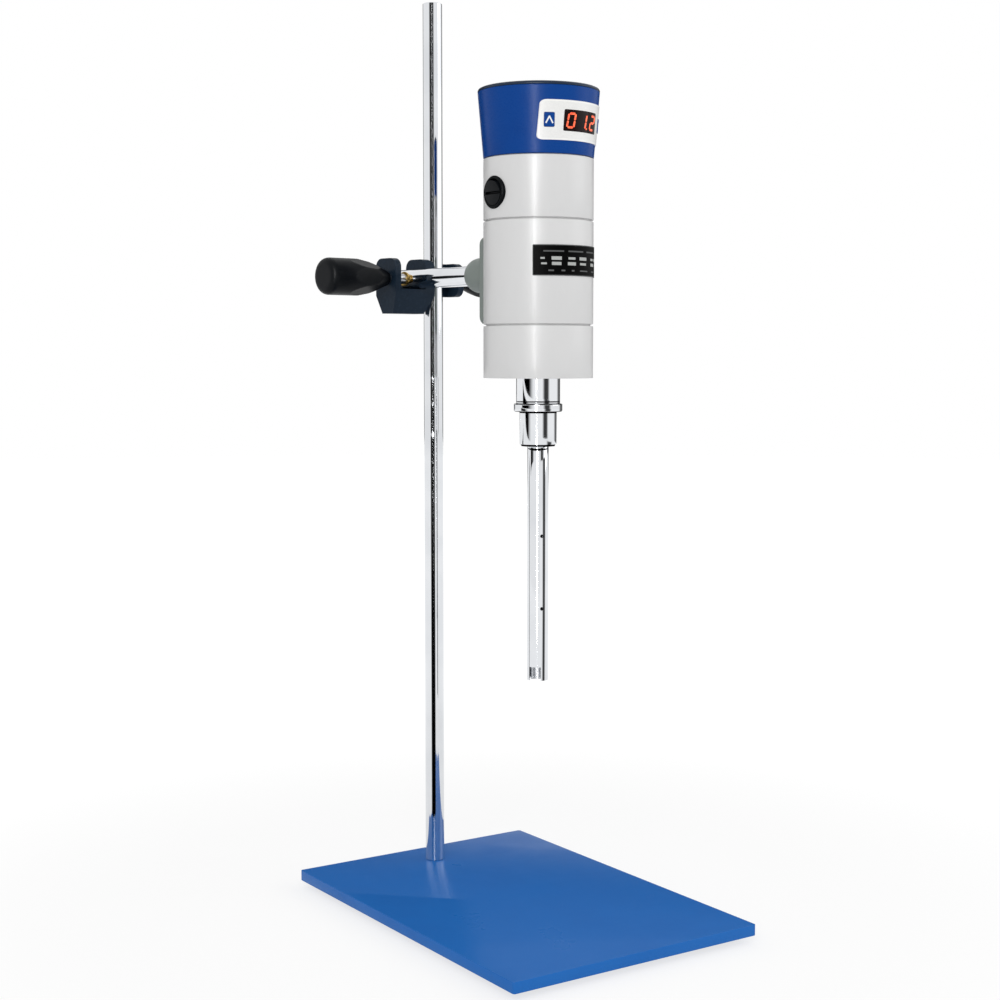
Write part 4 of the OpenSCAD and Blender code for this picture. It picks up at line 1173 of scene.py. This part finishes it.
@dataclass
class Housing:
    """White drum in three sections, blue head, dark lid, cord gland and data plate."""

    body_r: float = 39.5
    wall: float = 2.5
    step: float = 2.5
    step_up: float = 26.0
    floor: float = 5.0
    lip: float = 4.0
    seam_h: float = 0.75
    seam_deep: float = 2.0
    seams: tuple[float, float, float] = (37.8, 111.8, 156.2)
    head_h: float = 46.4
    head_r: float = 43.6
    lid_rim: float = 2.6
    neck_r: float = 15.85
    panel_up: float = 22.4
    key_angle: float = 37.6
    key_hole: tuple[float, float] = (3.85, 5.05)
    plate_up: float = 82.5
    plate_w: float = 74.0
    plate_h: float = 21.5
    plate_t: float = 0.5
    switch_angle: float = -100.0
    switch_up: float = 130.5
    switch_hole: float = 10.0
    gland_angle: float = 150.0
    gland_up: float = 145.8
    gland_r: float = 6.0
    window_tool: tuple[float, float] = (16.6, 7.35)

    @property
    def lean(self) -> float:
        """Lean of the head's wall, in degrees."""
        return math.degrees(math.atan2(self.head_r - self.body_r, self.head_h))

    def wall_r(self, up: float) -> float:
        """Radius of the head's wall at a height above its bottom."""
        return self.body_r + (self.head_r - self.body_r) * up / self.head_h

    def on_head(self, angle: float) -> Matrix:
        """A place on the head's leaning wall at the panel's height, with Z pointing out of it."""
        up = self.panel_up
        return facing(angle, self.seams[2] + up) @ shift(z=self.wall_r(up)) @ turn_x(self.lean)

    def shell(self, name: str, low: float, high: float, bores: Outline) -> Piece:
        """Model one section of the drum.

        Args:
            name: the piece's name.
            low, high: its bottom and top above the body's bottom.
            bores: the rest of the outline, from the top's inner edge down to the bottom's.

        Returns:
            The section, in the unit's own frame.
        """
        r, h, root = self.body_r, self.seam_h, self.body_r - self.seam_deep
        foot = [(root, low), (root, low + h)] if low else [(r - 0.6, low)]
        outer = [*foot, (r, low + h if low else 0), (r, high - h), (root, high - h), (root, high)]
        outline = [outer[0], *eased([*outer, bores[0]], 0.25, 2)[1:-1], *bores, outer[0]]
        return turned(name, outline, ROUND, bored=True)

    def shells(self) -> list[Piece]:
        """Model the three sections, the upper one with its switch and gland holes."""
        bore, land = self.body_r - self.wall, self.body_r - self.wall - self.step
        first, second, third = self.seams
        floor, step_up, hole = self.floor, self.step_up, self.neck_r + 0.05
        lip = second - self.lip
        stepped = [(bore, first), (bore, step_up), (land, step_up), (land, floor), (hole, floor), (hole, 0)]
        lipped = [(land, second), (land, lip), (bore, lip), (bore, first)]
        lower = self.shell("lower_drum", 0, first, stepped)
        middle = self.shell("middle_drum", first, second, lipped)
        upper = self.shell("upper_drum", second, third, [(bore, third), (bore, second)])
        for angle, up, r in ((self.switch_angle, self.switch_up, self.switch_hole),
                             (self.gland_angle, self.gland_up, self.gland_r)):
            drill = settle(rod_between("drill", r, 20, 60, 64), UNIT.inverted() @ facing(angle, up))
            carved(upper, drill)
        return [smooth(settle(piece, UNIT)) for piece in (lower, middle, upper)]

    def key_tool(self) -> Piece:
        """A rounded block that cuts a button's opening, at the origin."""
        w, h = self.key_hole
        tool = block("key_tool", (-w, -h, -6), (w, h, 6))
        return corners_rounded(tool, 2, 0.9, 4)

    def head(self) -> Piece:
        """Model the flaring head with its inner ledge, window opening and button holes."""
        low, high = self.seams[2], self.seams[2] + self.head_h
        r0, r1, wall = self.body_r, self.head_r, self.wall
        ledge, thick = r0 - wall - 8, low + 2.5
        outline = [(r0 - 0.4, low), (r0 + 0.05, low + 0.4), (r1 - 0.05, high - 0.5), (r1 - 0.5, high),
                   (r1 - wall, high), (r0 - wall, thick), (ledge, thick), (ledge, low), (r0 - 0.4, low)]
        piece = turned("head_body", eased(outline, 0.3), 192, bored=True)
        w, h = self.window_tool
        window = block("window_tool", (-w, -h, 20), (w, h, 60))
        carved(piece, settle(window, UNIT.inverted() @ facing(0, low + self.panel_up)))
        for side in (-1, 1):
            carved(piece, settle(self.key_tool(), UNIT.inverted() @ self.on_head(side * self.key_angle)))
        return smooth(settle(piece, UNIT))

    def lid(self) -> Piece:
        """Model the lid: a shallow dished cap with a rounded rim and a locating lip."""
        r, h = self.head_r, self.lid_rim
        lip_out, lip_in = r - self.wall - 0.8, r - self.wall - 3
        top = eased([(r - 0.3, 0), (r, 0.3), (r, h - 1.8), (r - 0.6, h - 0.7), (r - 2.2, h), (r * 0.6, h + 0.9),
                     (0, h + 1.3)], 0.8, 4)
        outline = [(lip_in, 0), (lip_in, -3), (lip_out, -3), (lip_out, 0), *top]
        piece = turned("lid_body", outline, 192)
        return smooth(settle(piece, UNIT @ shift(z=self.seams[2] + self.head_h)))

    def gland(self) -> Piece:
        """Model the cord gland: a flange, a ribbed barrel and its bore."""
        inner, seat = self.body_r - 6.5, self.body_r - 1
        flange, tip = self.body_r + 3, self.body_r + 12
        r, flange_r, bore, pitch = self.gland_r, 8.4, 3.5, 2.2
        ribs = []
        for k in range(3):
            z = flange + pitch * (k + 1)
            ribs += [(r, z), (r - 0.7, z + 0.5), (r - 0.7, z + 1.1), (r, z + 1.6)]
        outline = [(bore, inner), (r, inner), (r, seat), (flange_r, seat), (flange_r, flange),
                   (r, flange + 0.6), *ribs, (r, tip - 0.8), (r - 0.6, tip), (bore + 0.4, tip),
                   (bore, tip - 0.4), (bore, inner)]
        piece = turned("gland_body", eased(outline, 0.25, 2), 48, bored=True)
        return smooth(settle(piece, facing(self.gland_angle, self.gland_up)))

    def data_plate(self) -> Piece:
        """Model the data plate: a thin foil cut from a sleeve round the drum."""
        r, half = self.body_r, self.plate_h / 2 + 2
        low, high = self.plate_up - half, self.plate_up + half
        out = r + self.plate_t
        foil = turned("data_plate", [(r, low), (out, low), (out, high), (r, high), (r, low)], 256, bored=True)
        half_w = r * math.sin(self.plate_w / 2 / r)
        tool = block("plate_tool", (-half_w, -self.plate_h / 2, 5), (half_w, self.plate_h / 2, 80))
        corners_rounded(tool, 2, 0.6, 3)
        carved(foil, settle(tool, UNIT.inverted() @ facing(0, self.plate_up)), "INTERSECT")
        return smooth(settle(foil, UNIT))

    def build(self) -> None:
        """Build and dress the housing."""
        nodes = ("lower_shell", "middle_shell", "upper_shell")
        for piece, node in zip(self.shells(), nodes):
            dress(piece, WHITE_ENAMEL, "unit", "body_white", node)
        dress(self.head(), BLUE_MOULDING, "unit", "head_blue", "head_shell")
        dress(self.lid(), LID_MOULDING, "unit", "black_plastic", "top_lid")
        dress(self.gland(), BLACK_MOULDING, "unit", "black_plastic", "cord_gland")
        wrap = Wrapped(UNIT @ Vector((0, 0, self.plate_up * MM)), FACE_TURN, self.body_r)
        print_finish = DataPlate("data_print", wrap, self.plate_w, self.plate_h)
        dress(self.data_plate(), print_finish, "unit", "rating_black", "rating_plate")


class Segment(Enum):
    """The seven bars of a digit, each as (x, y, upright) in halves of the digit's size."""

    TOP = (0, 1, False)
    UPPER_RIGHT = (1, 0.5, True)
    LOWER_RIGHT = (1, -0.5, True)
    BOTTOM = (0, -1, False)
    LOWER_LEFT = (-1, -0.5, True)
    UPPER_LEFT = (-1, 0.5, True)
    MIDDLE = (0, 0, False)


@dataclass
class Controls:
    """Display panel with its window, lit digits and keys, and the round power switch."""

    housing: Housing
    panel_w: float = 70.0
    panel_h: float = 27.2
    panel_t: float = 0.6
    panel_corner: float = 3.0
    window_w: float = 34.0
    window_h: float = 14.6
    window_deep: float = 2.0
    window_corner: float = 1.0
    key_w: float = 7.4
    key_h: float = 9.8
    key_out: float = 0.9
    key_deep: float = 3.8
    digit_w: float = 5.6
    digit_h: float = 10.9
    stroke: float = 1.5
    digit_pitch: float = 11.0
    digit_slant: float = 9.0
    chevron: tuple[float, float, float] = (5.5, 1.0, 62.0)
    switch_r: float = 11.5
    switch_hole_r: float = 9.3
    switch_face: float = 40.7

    def chord(self, width: float) -> float:
        """Half width, seen from the front, of a width measured along the wall."""
        r = self.housing.wall_r(self.housing.panel_up)
        return r * math.sin(width / 2 / r)

    def skin(self, name: str, outset: float, inset: float, half: float) -> Piece:
        """A sleeve on the head's wall from inset to outset of it, half on either side of the panel's middle."""
        h = self.housing
        low, high = h.panel_up - half, h.panel_up + half
        points = [(h.wall_r(low) - inset, low), (h.wall_r(low) + outset, low), (h.wall_r(high) + outset, high),
                  (h.wall_r(high) - inset, high), (h.wall_r(low) - inset, low)]
        base = h.seams[2]
        return turned(name, [(r, base + z) for r, z in points], 256, bored=True)

    def front_tool(self, half_w: float, height: float, corner: float) -> Piece:
        """A rounded block that looks out of the display's side, in the unit's own frame."""
        tool = block("front_tool", (-half_w, -height / 2, 5), (half_w, height / 2, 80))
        corners_rounded(tool, 2, corner, 6)
        h = self.housing
        return settle(tool, UNIT.inverted() @ facing(0, h.seams[2] + h.panel_up))

    def panel(self) -> Piece:
        """Model the panel film with its openings."""
        piece = self.skin("panel_film", self.panel_t, 0.0, self.panel_h / 2 + 2)
        carved(piece, self.front_tool(self.chord(self.panel_w), self.panel_h, self.panel_corner), "INTERSECT")
        gap = 0.1
        carved(piece, self.front_tool(self.chord(self.window_w + gap), self.window_h + gap, self.window_corner))
        for side in (-1, 1):
            place = UNIT.inverted() @ self.housing.on_head(side * self.housing.key_angle)
            carved(piece, settle(self.housing.key_tool(), place))
        return smooth(settle(piece, UNIT))

    def window(self) -> Piece:
        """Model the window block, proud of the film by nothing and with rounded corners."""
        piece = self.skin("window_block", self.panel_t, self.window_deep, self.window_h / 2 + 2)
        carved(piece, self.front_tool(self.chord(self.window_w), self.window_h, self.window_corner),
               "INTERSECT")
        return smooth(settle(piece, UNIT))

    def digit(self, name: str, across: float, lit: Iterable[Segment], dot: bool) -> Piece:
        """Model one lit digit, slanted, on the window's face.

        Args:
            name: the piece's name.
            across: place of its middle along the window, in millimetres.
            lit: the segments that glow.
            dot: True for a decimal point after it.

        Returns:
            The digit.
        """
        half_w, half_h, s = self.digit_w / 2, (self.digit_h - self.stroke) / 2, self.stroke / 2
        bars = []
        for one in lit:
            x, y, upright = one.value
            length = (self.digit_h / 2 if upright else self.digit_w) / 2 - 0.75 * s
            bar = block("bar", (-length, -s, 0), (length, s, 0.12))
            corners_rounded(bar, 2, s * 0.8, 2)
            turn = turn_z(math.pi / 2) if upright else Matrix.Identity(4)
            bars.append(settle(bar, shift(x * half_w, y * half_h) @ turn))
        if dot:
            bars.append(settle(turned("dot", [(0.65, 0), (0.65, 0.08), (0.6, 0.12), (0, 0.12)], 20),
                               shift(half_w + 1.5, -half_h)))
        piece = joined(bars)
        piece.name = piece.data.name = name
        slant = Matrix.Identity(4)
        slant[0][1] = math.tan(math.radians(self.digit_slant))
        r = self.housing.wall_r(self.housing.panel_up) + self.panel_t
        place = self.housing.on_head(math.degrees(across / r)) @ shift(z=self.panel_t)
        piece.data.transform(slant)
        return smooth(settle(softened(piece, 0.04, 1), place))

    def key(self, name: str, side: int) -> Piece:
        """Model one push button with rounded corners and an eased face."""
        w, h = self.key_w / 2, self.key_h / 2
        piece = block(name, (-w, -h, -self.key_deep), (w, h, self.key_out))
        corners_rounded(piece, 2, 0.8)
        softened(piece, 0.3)
        return smooth(settle(piece, self.housing.on_head(side * self.housing.key_angle)))

    def arrow(self, name: str, side: int) -> Piece:
        """Model the printed chevron of a button: up on the left, down on the right."""
        length, width, steep = self.chevron
        strokes = []
        for lean in (-1, 1):
            bar = block("stroke", (-length / 2, -width / 2, 0), (length / 2, width / 2, 0.05))
            strokes.append(settle(bar, shift(1.2 * lean) @ turn_z(math.radians(steep * lean * side))))
        piece = strokes[0]
        carved(piece, strokes[1], "UNION")
        piece.name = piece.data.name = name
        place = self.housing.on_head(side * self.housing.key_angle) @ shift(z=self.key_out)
        return smooth(settle(piece, place))

    def bezel(self) -> Piece:
        """Model the switch's bezel: a rounded ring on the drum with the barrel behind it."""
        face, r, hole = self.switch_face, self.switch_r, self.switch_hole_r
        body = self.housing.body_r
        barrel, inner, back, seat, floor = self.housing.switch_hole, 8.4, body - 20, body - 4, face - 7
        outline = [(hole, floor), (hole, face - 0.5), (hole + 0.4, face), (r - 0.7, face), (r, face - 0.7),
                   (r, seat), (barrel, seat), (barrel, back), (inner, back), (inner, floor), (hole, floor)]
        return smooth(settle(turned("switch_ring", eased(outline, 0.3), 96, bored=True),
                             facing(self.housing.switch_angle, self.housing.switch_up)))

    def build(self) -> None:
        """Build and dress the controls."""
        h = self.housing
        wrap = Wrapped(UNIT @ Vector((0, 0, (h.seams[2] + h.panel_up) * MM)), FACE_TURN, h.wall_r(h.panel_up))
        across = math.radians(h.key_angle) * wrap.radius
        film = PanelFilm("panel_print", wrap, self.panel_w, self.panel_h, self.panel_corner, 1.3, across)
        dress(self.panel(), film, "unit", "panel_film", "display_panel")
        dress(self.window(), TINTED_WINDOW, "unit", "window", "display_window")
        every = set(Segment)
        zero = every - {Segment.MIDDLE}
        one = {Segment.UPPER_RIGHT, Segment.LOWER_RIGHT}
        two = every - {Segment.UPPER_LEFT, Segment.LOWER_RIGHT}
        for number, (lit, dot) in enumerate(((zero, False), (one, True), (two, False))):
            ordered = [part for part in Segment if part in lit]
            piece = self.digit(f"lit_digit_{number + 1}", (number - 1) * self.digit_pitch, ordered, dot)
            dress(piece, LIT_SEGMENT, "unit", "display_black")
        for side, name in ((-1, "up"), (1, "down")):
            dress(self.key(f"{name}_key", side), BLUE_MOULDING, f"{name}_button", "head_blue", f"{name}_button")
            dress(self.arrow(f"{name}_arrow", side), WHITE_PRINT, f"{name}_button", "panel_film")
        dress(self.bezel(), BLACK_MOULDING, "unit", "black_plastic", "switch_bezel")
        rocker = softened_copy("switch_rocker", "rocker_body", 0.35)
        dress(rocker, BLACK_KNOB, "rocker", "black_plastic", "switch_rocker")


@dataclass
class Tool:
    """Chromed neck, lock ring, collar and slotted stator tube, all turned about the tool's axis."""

    neck_r: float = 15.85
    neck_l: float = 18.4
    bore_r: float = 11.0
    shaft_r: float = 8.0
    seat_up: float = 1.5
    web_low: float = -7.7
    flange: tuple[float, float, float] = (24.0, 5.0, 8.5)
    thread_r: float = 14.5
    thread_l: float = 2.1
    ring_r: float = 17.5
    ring_h: float = 5.8
    collar_r: float = 13.5
    collar_l: float = 25.0
    spigot_r: float = 10.95
    tube_r: float = 7.7
    tube_wall: float = 1.5
    tube_l: float = 171.0
    tube_in: float = 14.0
    slot_w: float = 8.4
    slot_h: float = 10.0
    slot_angle: float = 25.5
    hole_d: float = 2.6
    hole_rises: tuple[float, float] = (0.31, 0.62)
    hole_angle: float = -25.5

    @property
    def ring_z(self) -> float:
        """Bottom of the lock ring."""
        return -self.neck_l - self.ring_h

    @property
    def collar_z(self) -> float:
        """Bottom of the collar."""
        return self.ring_z - self.collar_l

    def neck(self) -> Piece:
        """Model the neck with its flange, bearing seat and thread."""
        r, low, thread = self.neck_r, -self.neck_l, -self.neck_l - self.thread_l
        bore, shaft, seat, web = self.bore_r, self.shaft_r, self.seat_up, self.web_low
        flange_r, flange_low, flange_high = self.flange
        outline = [(bore, thread), (self.thread_r, thread), (self.thread_r, low), (r, low), (r, flange_low),
                   (flange_r, flange_low), (flange_r, flange_high), (bore, flange_high), (bore, seat),
                   (shaft, seat), (shaft, web), (bore, web), (bore, thread)]
        return turned("neck_body", eased(outline, 0.35), ROUND, bored=True)

    def ring(self) -> Piece:
        """Model the lock ring with rounded rims and its inner lip."""
        low, high, r = self.ring_z, self.ring_z + self.ring_h - 0.1, self.ring_r
        lip, bore, step = self.collar_r + 0.05, self.thread_r + 0.05, low + 2
        outline = [(lip, low), (r, low), (r, high), (bore, high), (bore, step), (lip, step), (lip, low)]
        return turned("ring_body", eased(outline, 0.9, 4), ROUND, bored=True)

    def collar(self) -> Piece:
        """Model the collar: a rounded foot, the turned grip, its head and the spigot."""
        low, top = self.collar_z, -self.neck_l - self.thread_l
        r, head, head_r, tube = self.collar_r, self.ring_z + 2.1, self.thread_r - 0.3, self.tube_r
        shoulder, tip, tube_top = top - 0.1, top + 12.5, low + self.tube_in
        seal_low, seal_high = low + 17, low + 30
        wide, seal_r, narrow = 7.6, 6, 3.3
        outline = [(tube, low), (r - 1.5, low), (r, low + 1.5), (r, head), (head_r, head), (head_r, shoulder),
                   (self.spigot_r, shoulder), (self.spigot_r, tip), (wide, tip), (wide, seal_high),
                   (seal_r, seal_high), (seal_r, seal_low), (narrow, seal_low), (narrow, tube_top),
                   (tube, tube_top), (tube, low)]
        return turned("collar_body", eased(outline, 0.3), ROUND, bored=True)

    def tube(self) -> Piece:
        """Model the tube with the cut through its stator tip and its cross holes."""
        tip, top = self.collar_z - self.tube_l, self.collar_z + self.tube_in
        r, bore = self.tube_r, self.tube_r - self.tube_wall
        outline = [(bore, tip), (r, tip), (r, top), (bore, top), (bore, tip)]
        piece = turned("tube_body", eased(outline, 0.2, 2), 96, bored=True)
        slot = block("slot_tool", (-12, -self.slot_w / 2, -5), (12, self.slot_w / 2, self.slot_h))
        carved(piece, settle(slot, shift(z=tip) @ turn_z(math.radians(self.slot_angle))))
        for rise in self.hole_rises:
            drill = settle(rod_between("drill", self.hole_d / 2, -12, 12, 32), turn_x(90))
            place = shift(z=tip + self.tube_l * rise) @ turn_z(math.radians(self.hole_angle))
            carved(piece, settle(drill, place))
        return piece

    def build(self) -> None:
        """Build and dress the tool."""
        rows = ((self.neck(), "unit", "neck"), (self.ring(), "lock_ring", "lock_ring"),
                (self.collar(), "tool", "tool_collar"), (self.tube(), "tool", "stator_tube"))
        for piece, body, node in rows:
            dress(smooth(settle(piece, UNIT)), BRIGHT_CHROME, body, "chrome", node)


@dataclass
class Works:
    """The CAD solids that keep their shape: screws, pads, motor and shafts."""

    def dress(self) -> None:
        """Give each kept CAD node its material."""
        finishes = {
            TURNED_STEEL: ("foot_screws", "rod_screw", "arm_clamp_screw", "rod_clamp_screw", "saddle_screws",
                           "neck_screws", "lower_bearing", "upper_bearing", "tie_bolts", "motor_shaft",
                           "drive_socket", "drive_shaft", "rotor_blades"),
            SHEET_STEEL: ("board_bracket", "lower_bracket", "upper_bracket"),
            SPRING_STEEL: ("brush_springs",),
            BRASS: ("arm_pad", "rod_pad", "brush_holders"),
            BLACK_MOULDING: ("gland_nut", "cooling_fan"),
            BLACK_RUBBER: ("shaft_seal",),
            BEARING_PLASTIC: ("tool_bushes",),
            DISPLAY_BLACK: ("display_module",),
            SOLDER_MASK: ("control_board",),
            LAMINATIONS: ("field_core", "armature_core"),
            ENAMELLED_WIRE: ("field_coils", "armature_winding"),
            COPPER_BARS: ("commutator",),
            CARBON: ("carbon_brushes",),
        }
        for finish, nodes in finishes.items():
            for node in nodes:
                mesh = frame["nodes"][node].data
                mesh.materials.clear()
                mesh.materials.append(stock(finish))
                log.info("%s keeps its solid with %s", node, finish.name)


@dataclass
class Studio:
    """Pale floor, white world, soft lamps, the camera, and cards that only shiny surfaces see."""

    eye: tuple[float, float, float] = (-0.725, -1.061, 0.420)
    target: tuple[float, float, float] = (-0.0106, 0.0071, 0.3132)
    lens: float = 62.8
    sensor: float = 36.0

    def camera(self) -> None:
        """Add the camera."""
        data = bpy.data.cameras.new("camera")
        data.lens = self.lens
        data.sensor_width = self.sensor
        data.sensor_fit = "HORIZONTAL"
        data.clip_start = 0.01
        camera = bpy.data.objects.new("camera", data)
        bpy.context.scene.collection.objects.link(camera)
        look = Vector(self.target) - Vector(self.eye)
        camera.location = self.eye
        camera.rotation_euler = look.to_track_quat("-Z", "Y").to_euler()
        bpy.context.scene.camera = camera

    def floor(self) -> None:
        """Add the floor, a wide disc that meets the white world."""
        set_down()
        bpy.ops.mesh.primitive_circle_add(vertices=96, radius=6.0, fill_type="NGON", location=(0, 0, 0))
        floor = bpy.context.object
        floor.name = "floor"
        finish = Ground("floor_white", paint(246, 246, 246), 1.07, 0.68, 1.0)
        floor.data.materials.append(stock(finish))

    def unseen(self, card: Piece) -> None:
        """Hide a card from everything but polished surfaces."""
        card.visible_camera = card.visible_diffuse = card.visible_transmission = False
        card.visible_shadow = card.visible_volume_scatter = False

    def card(self, name: str, foot: Vector, bearing: float, distance: float, spread: float,
             heights: tuple[float, float], shade: float, core: float) -> None:
        """Add an upright card with soft edges that only polished surfaces see.

        Args:
            name: its name.
            foot: the axis that it stands beside.
            bearing: its direction from that axis, in degrees from the eye's, to the right.
            distance: metres from the axis.
            spread: half of the angle that it spans, in degrees.
            heights: its bottom and top, in metres.
            shade: its brightness.
            core: share of its width with the full shade.
        """
        toward = math.atan2(self.eye[0] - foot.x, foot.y - self.eye[1]) + math.radians(bearing)
        low, high = heights
        x, y = foot.x + math.sin(toward) * distance, foot.y - math.cos(toward) * distance
        centre = Vector((x, y, (low + high) / 2))
        half = distance * math.tan(math.radians(spread))
        set_down()
        bpy.ops.mesh.primitive_plane_add(size=1)
        card = bpy.context.object
        card.name = name
        card.scale = (2 * half, high - low, 1)
        card.rotation_euler = (math.pi / 2, 0, toward)
        card.location = centre
        settle(card)
        card.data.materials.append(stock(SoftCard(f"{name}_shade", centre, toward, half, core, shade)))
        self.unseen(card)

    def disc(self, name: str, height: float, radius: float) -> None:
        """Add a dark disc round the tool, at a height above the body's bottom: painted shade that only polished
        rims see.
        """
        set_down()
        bpy.ops.mesh.primitive_circle_add(vertices=48, radius=radius * MM, fill_type="NGON",
                                          location=(TOOL_FOOT.x, TOOL_FOOT.y, BODY_BOTTOM + height * MM))
        disc = bpy.context.object
        disc.name = name
        settle(disc)
        disc.data.materials.append(stock(SoftCard(f"{name}_shade", TOOL_FOOT, 0.0, 1.0, 0.9, 0.0)))
        self.unseen(disc)

    def cards(self) -> None:
        """Give the polished pieces something to mirror: dark and grey cards beside the rod and the tool."""
        tube, collar, neck = (0.0, 0.352), (0.352, 0.3785), (0.3785, 0.403)
        rows = (("card_tube_rod", ROD_PLACE, -12, 0.10, 29, tube, 0.0, 0.6),
                ("card_collar_rod", ROD_PLACE, -12, 0.145, 29, collar, 0.0, 0.6),
                ("card_neck_rod", ROD_PLACE, -12, 0.165, 29, neck, 0.0, 0.6),
                ("card_rod", ROD_PLACE, -12, 0.07, 29, (0.403, 0.8), 0.0, 0.6),
                ("card_back", Vector(), 180, 2.0, 38, (0.25, 1.3), 0.03, 0.9),
                ("card_tube_right", TOOL_FOOT, 66, 0.05, 22, (0.1, 0.352), 0.05, 0.3),
                ("card_collar_right", TOOL_FOOT, 41, 0.06, 20, collar, 0.05, 0.3),
                ("card_neck_right", TOOL_FOOT, 38, 0.06, 20, neck, 0.05, 0.3),
                ("card_edge_right", TOOL_FOOT, 130, 0.06, 28, (0.352, 0.403), 0.14, 0.3),
                ("card_front", TOOL_FOOT, -8, 2.0, 5, (-0.5, 1.6), 30.0, 0.3))
        for row in rows:
            self.card(*row)
        # painted shade: dark discs just over and under the lock ring and under the collar, which the chrome
        # rims mirror as dark lines at the joints
        for name, height, radius in (("disc_over_ring", -17.4, 20), ("disc_under_ring", -25.2, 19),
                                     ("disc_under_collar", -50.6, 15)):
            self.disc(name, height, radius)

    def lamp(self, name: str, place: Sequence[float], size: float, power: float) -> None:
        """Add a square soft lamp that looks at the object.

        Args:
            name: its name.
            place: where it stands, in metres.
            size: its side.
            power: watts.
        """
        data = bpy.data.lights.new(name, "AREA")
        data.shape = "SQUARE"
        data.size = size
        data.energy = power
        lamp = bpy.data.objects.new(name, data)
        bpy.context.scene.collection.objects.link(lamp)
        lamp.location = place
        look = Vector((0, 0, 0.35)) - Vector(place)
        lamp.rotation_euler = look.to_track_quat("-Z", "Y").to_euler()

    def world(self) -> None:
        """Light the room evenly, and show white to the camera and to polished metal."""
        world = bpy.data.worlds.new("room")
        bpy.context.scene.world = world
        world.use_nodes = True
        tree = world.node_tree
        tree.nodes.clear()
        graph = Graph("room_nodes")
        graph.tree = tree
        path = graph.node("ShaderNodeLightPath").outputs
        seen = Term(graph, path["Is Camera Ray"]).at_least(Term(graph, path["Is Glossy Ray"]))
        seen = seen.at_least(Term(graph, path["Is Transmission Ray"]))
        strength = seen.fades(0.0, 1.0, 0.62, 1.0)
        back = graph.node("ShaderNodeBackground", {}, {"Color": (1, 1, 1, 1), "Strength": strength})
        graph.node("ShaderNodeOutputWorld", {}, {"Surface": back.outputs[0]})
        bpy.data.materials.remove(graph.material)

    def build(self) -> None:
        """Set the stage."""
        bpy.context.scene.view_settings.view_transform = "Standard"
        self.camera()
        self.floor()
        self.world()
        self.lamp("key_lamp", (-1.6, -1.8, 1.7), 1.2, 22.0)
        self.lamp("fill_lamp", (1.9, -1.2, 1.2), 1.4, 10.0)
        self.cards()


def main() -> None:
    """Build the whole object and its stage."""
    logging.basicConfig(level=logging.INFO, format="%(name)s: %(message)s")
    housing = Housing()
    for assembly in (Stand(), Clamp(), Arm(), housing, Controls(housing), Tool()):
        assembly.build()
    Works().dress()
    Studio().build()


if __name__ == "__main__":
    main()
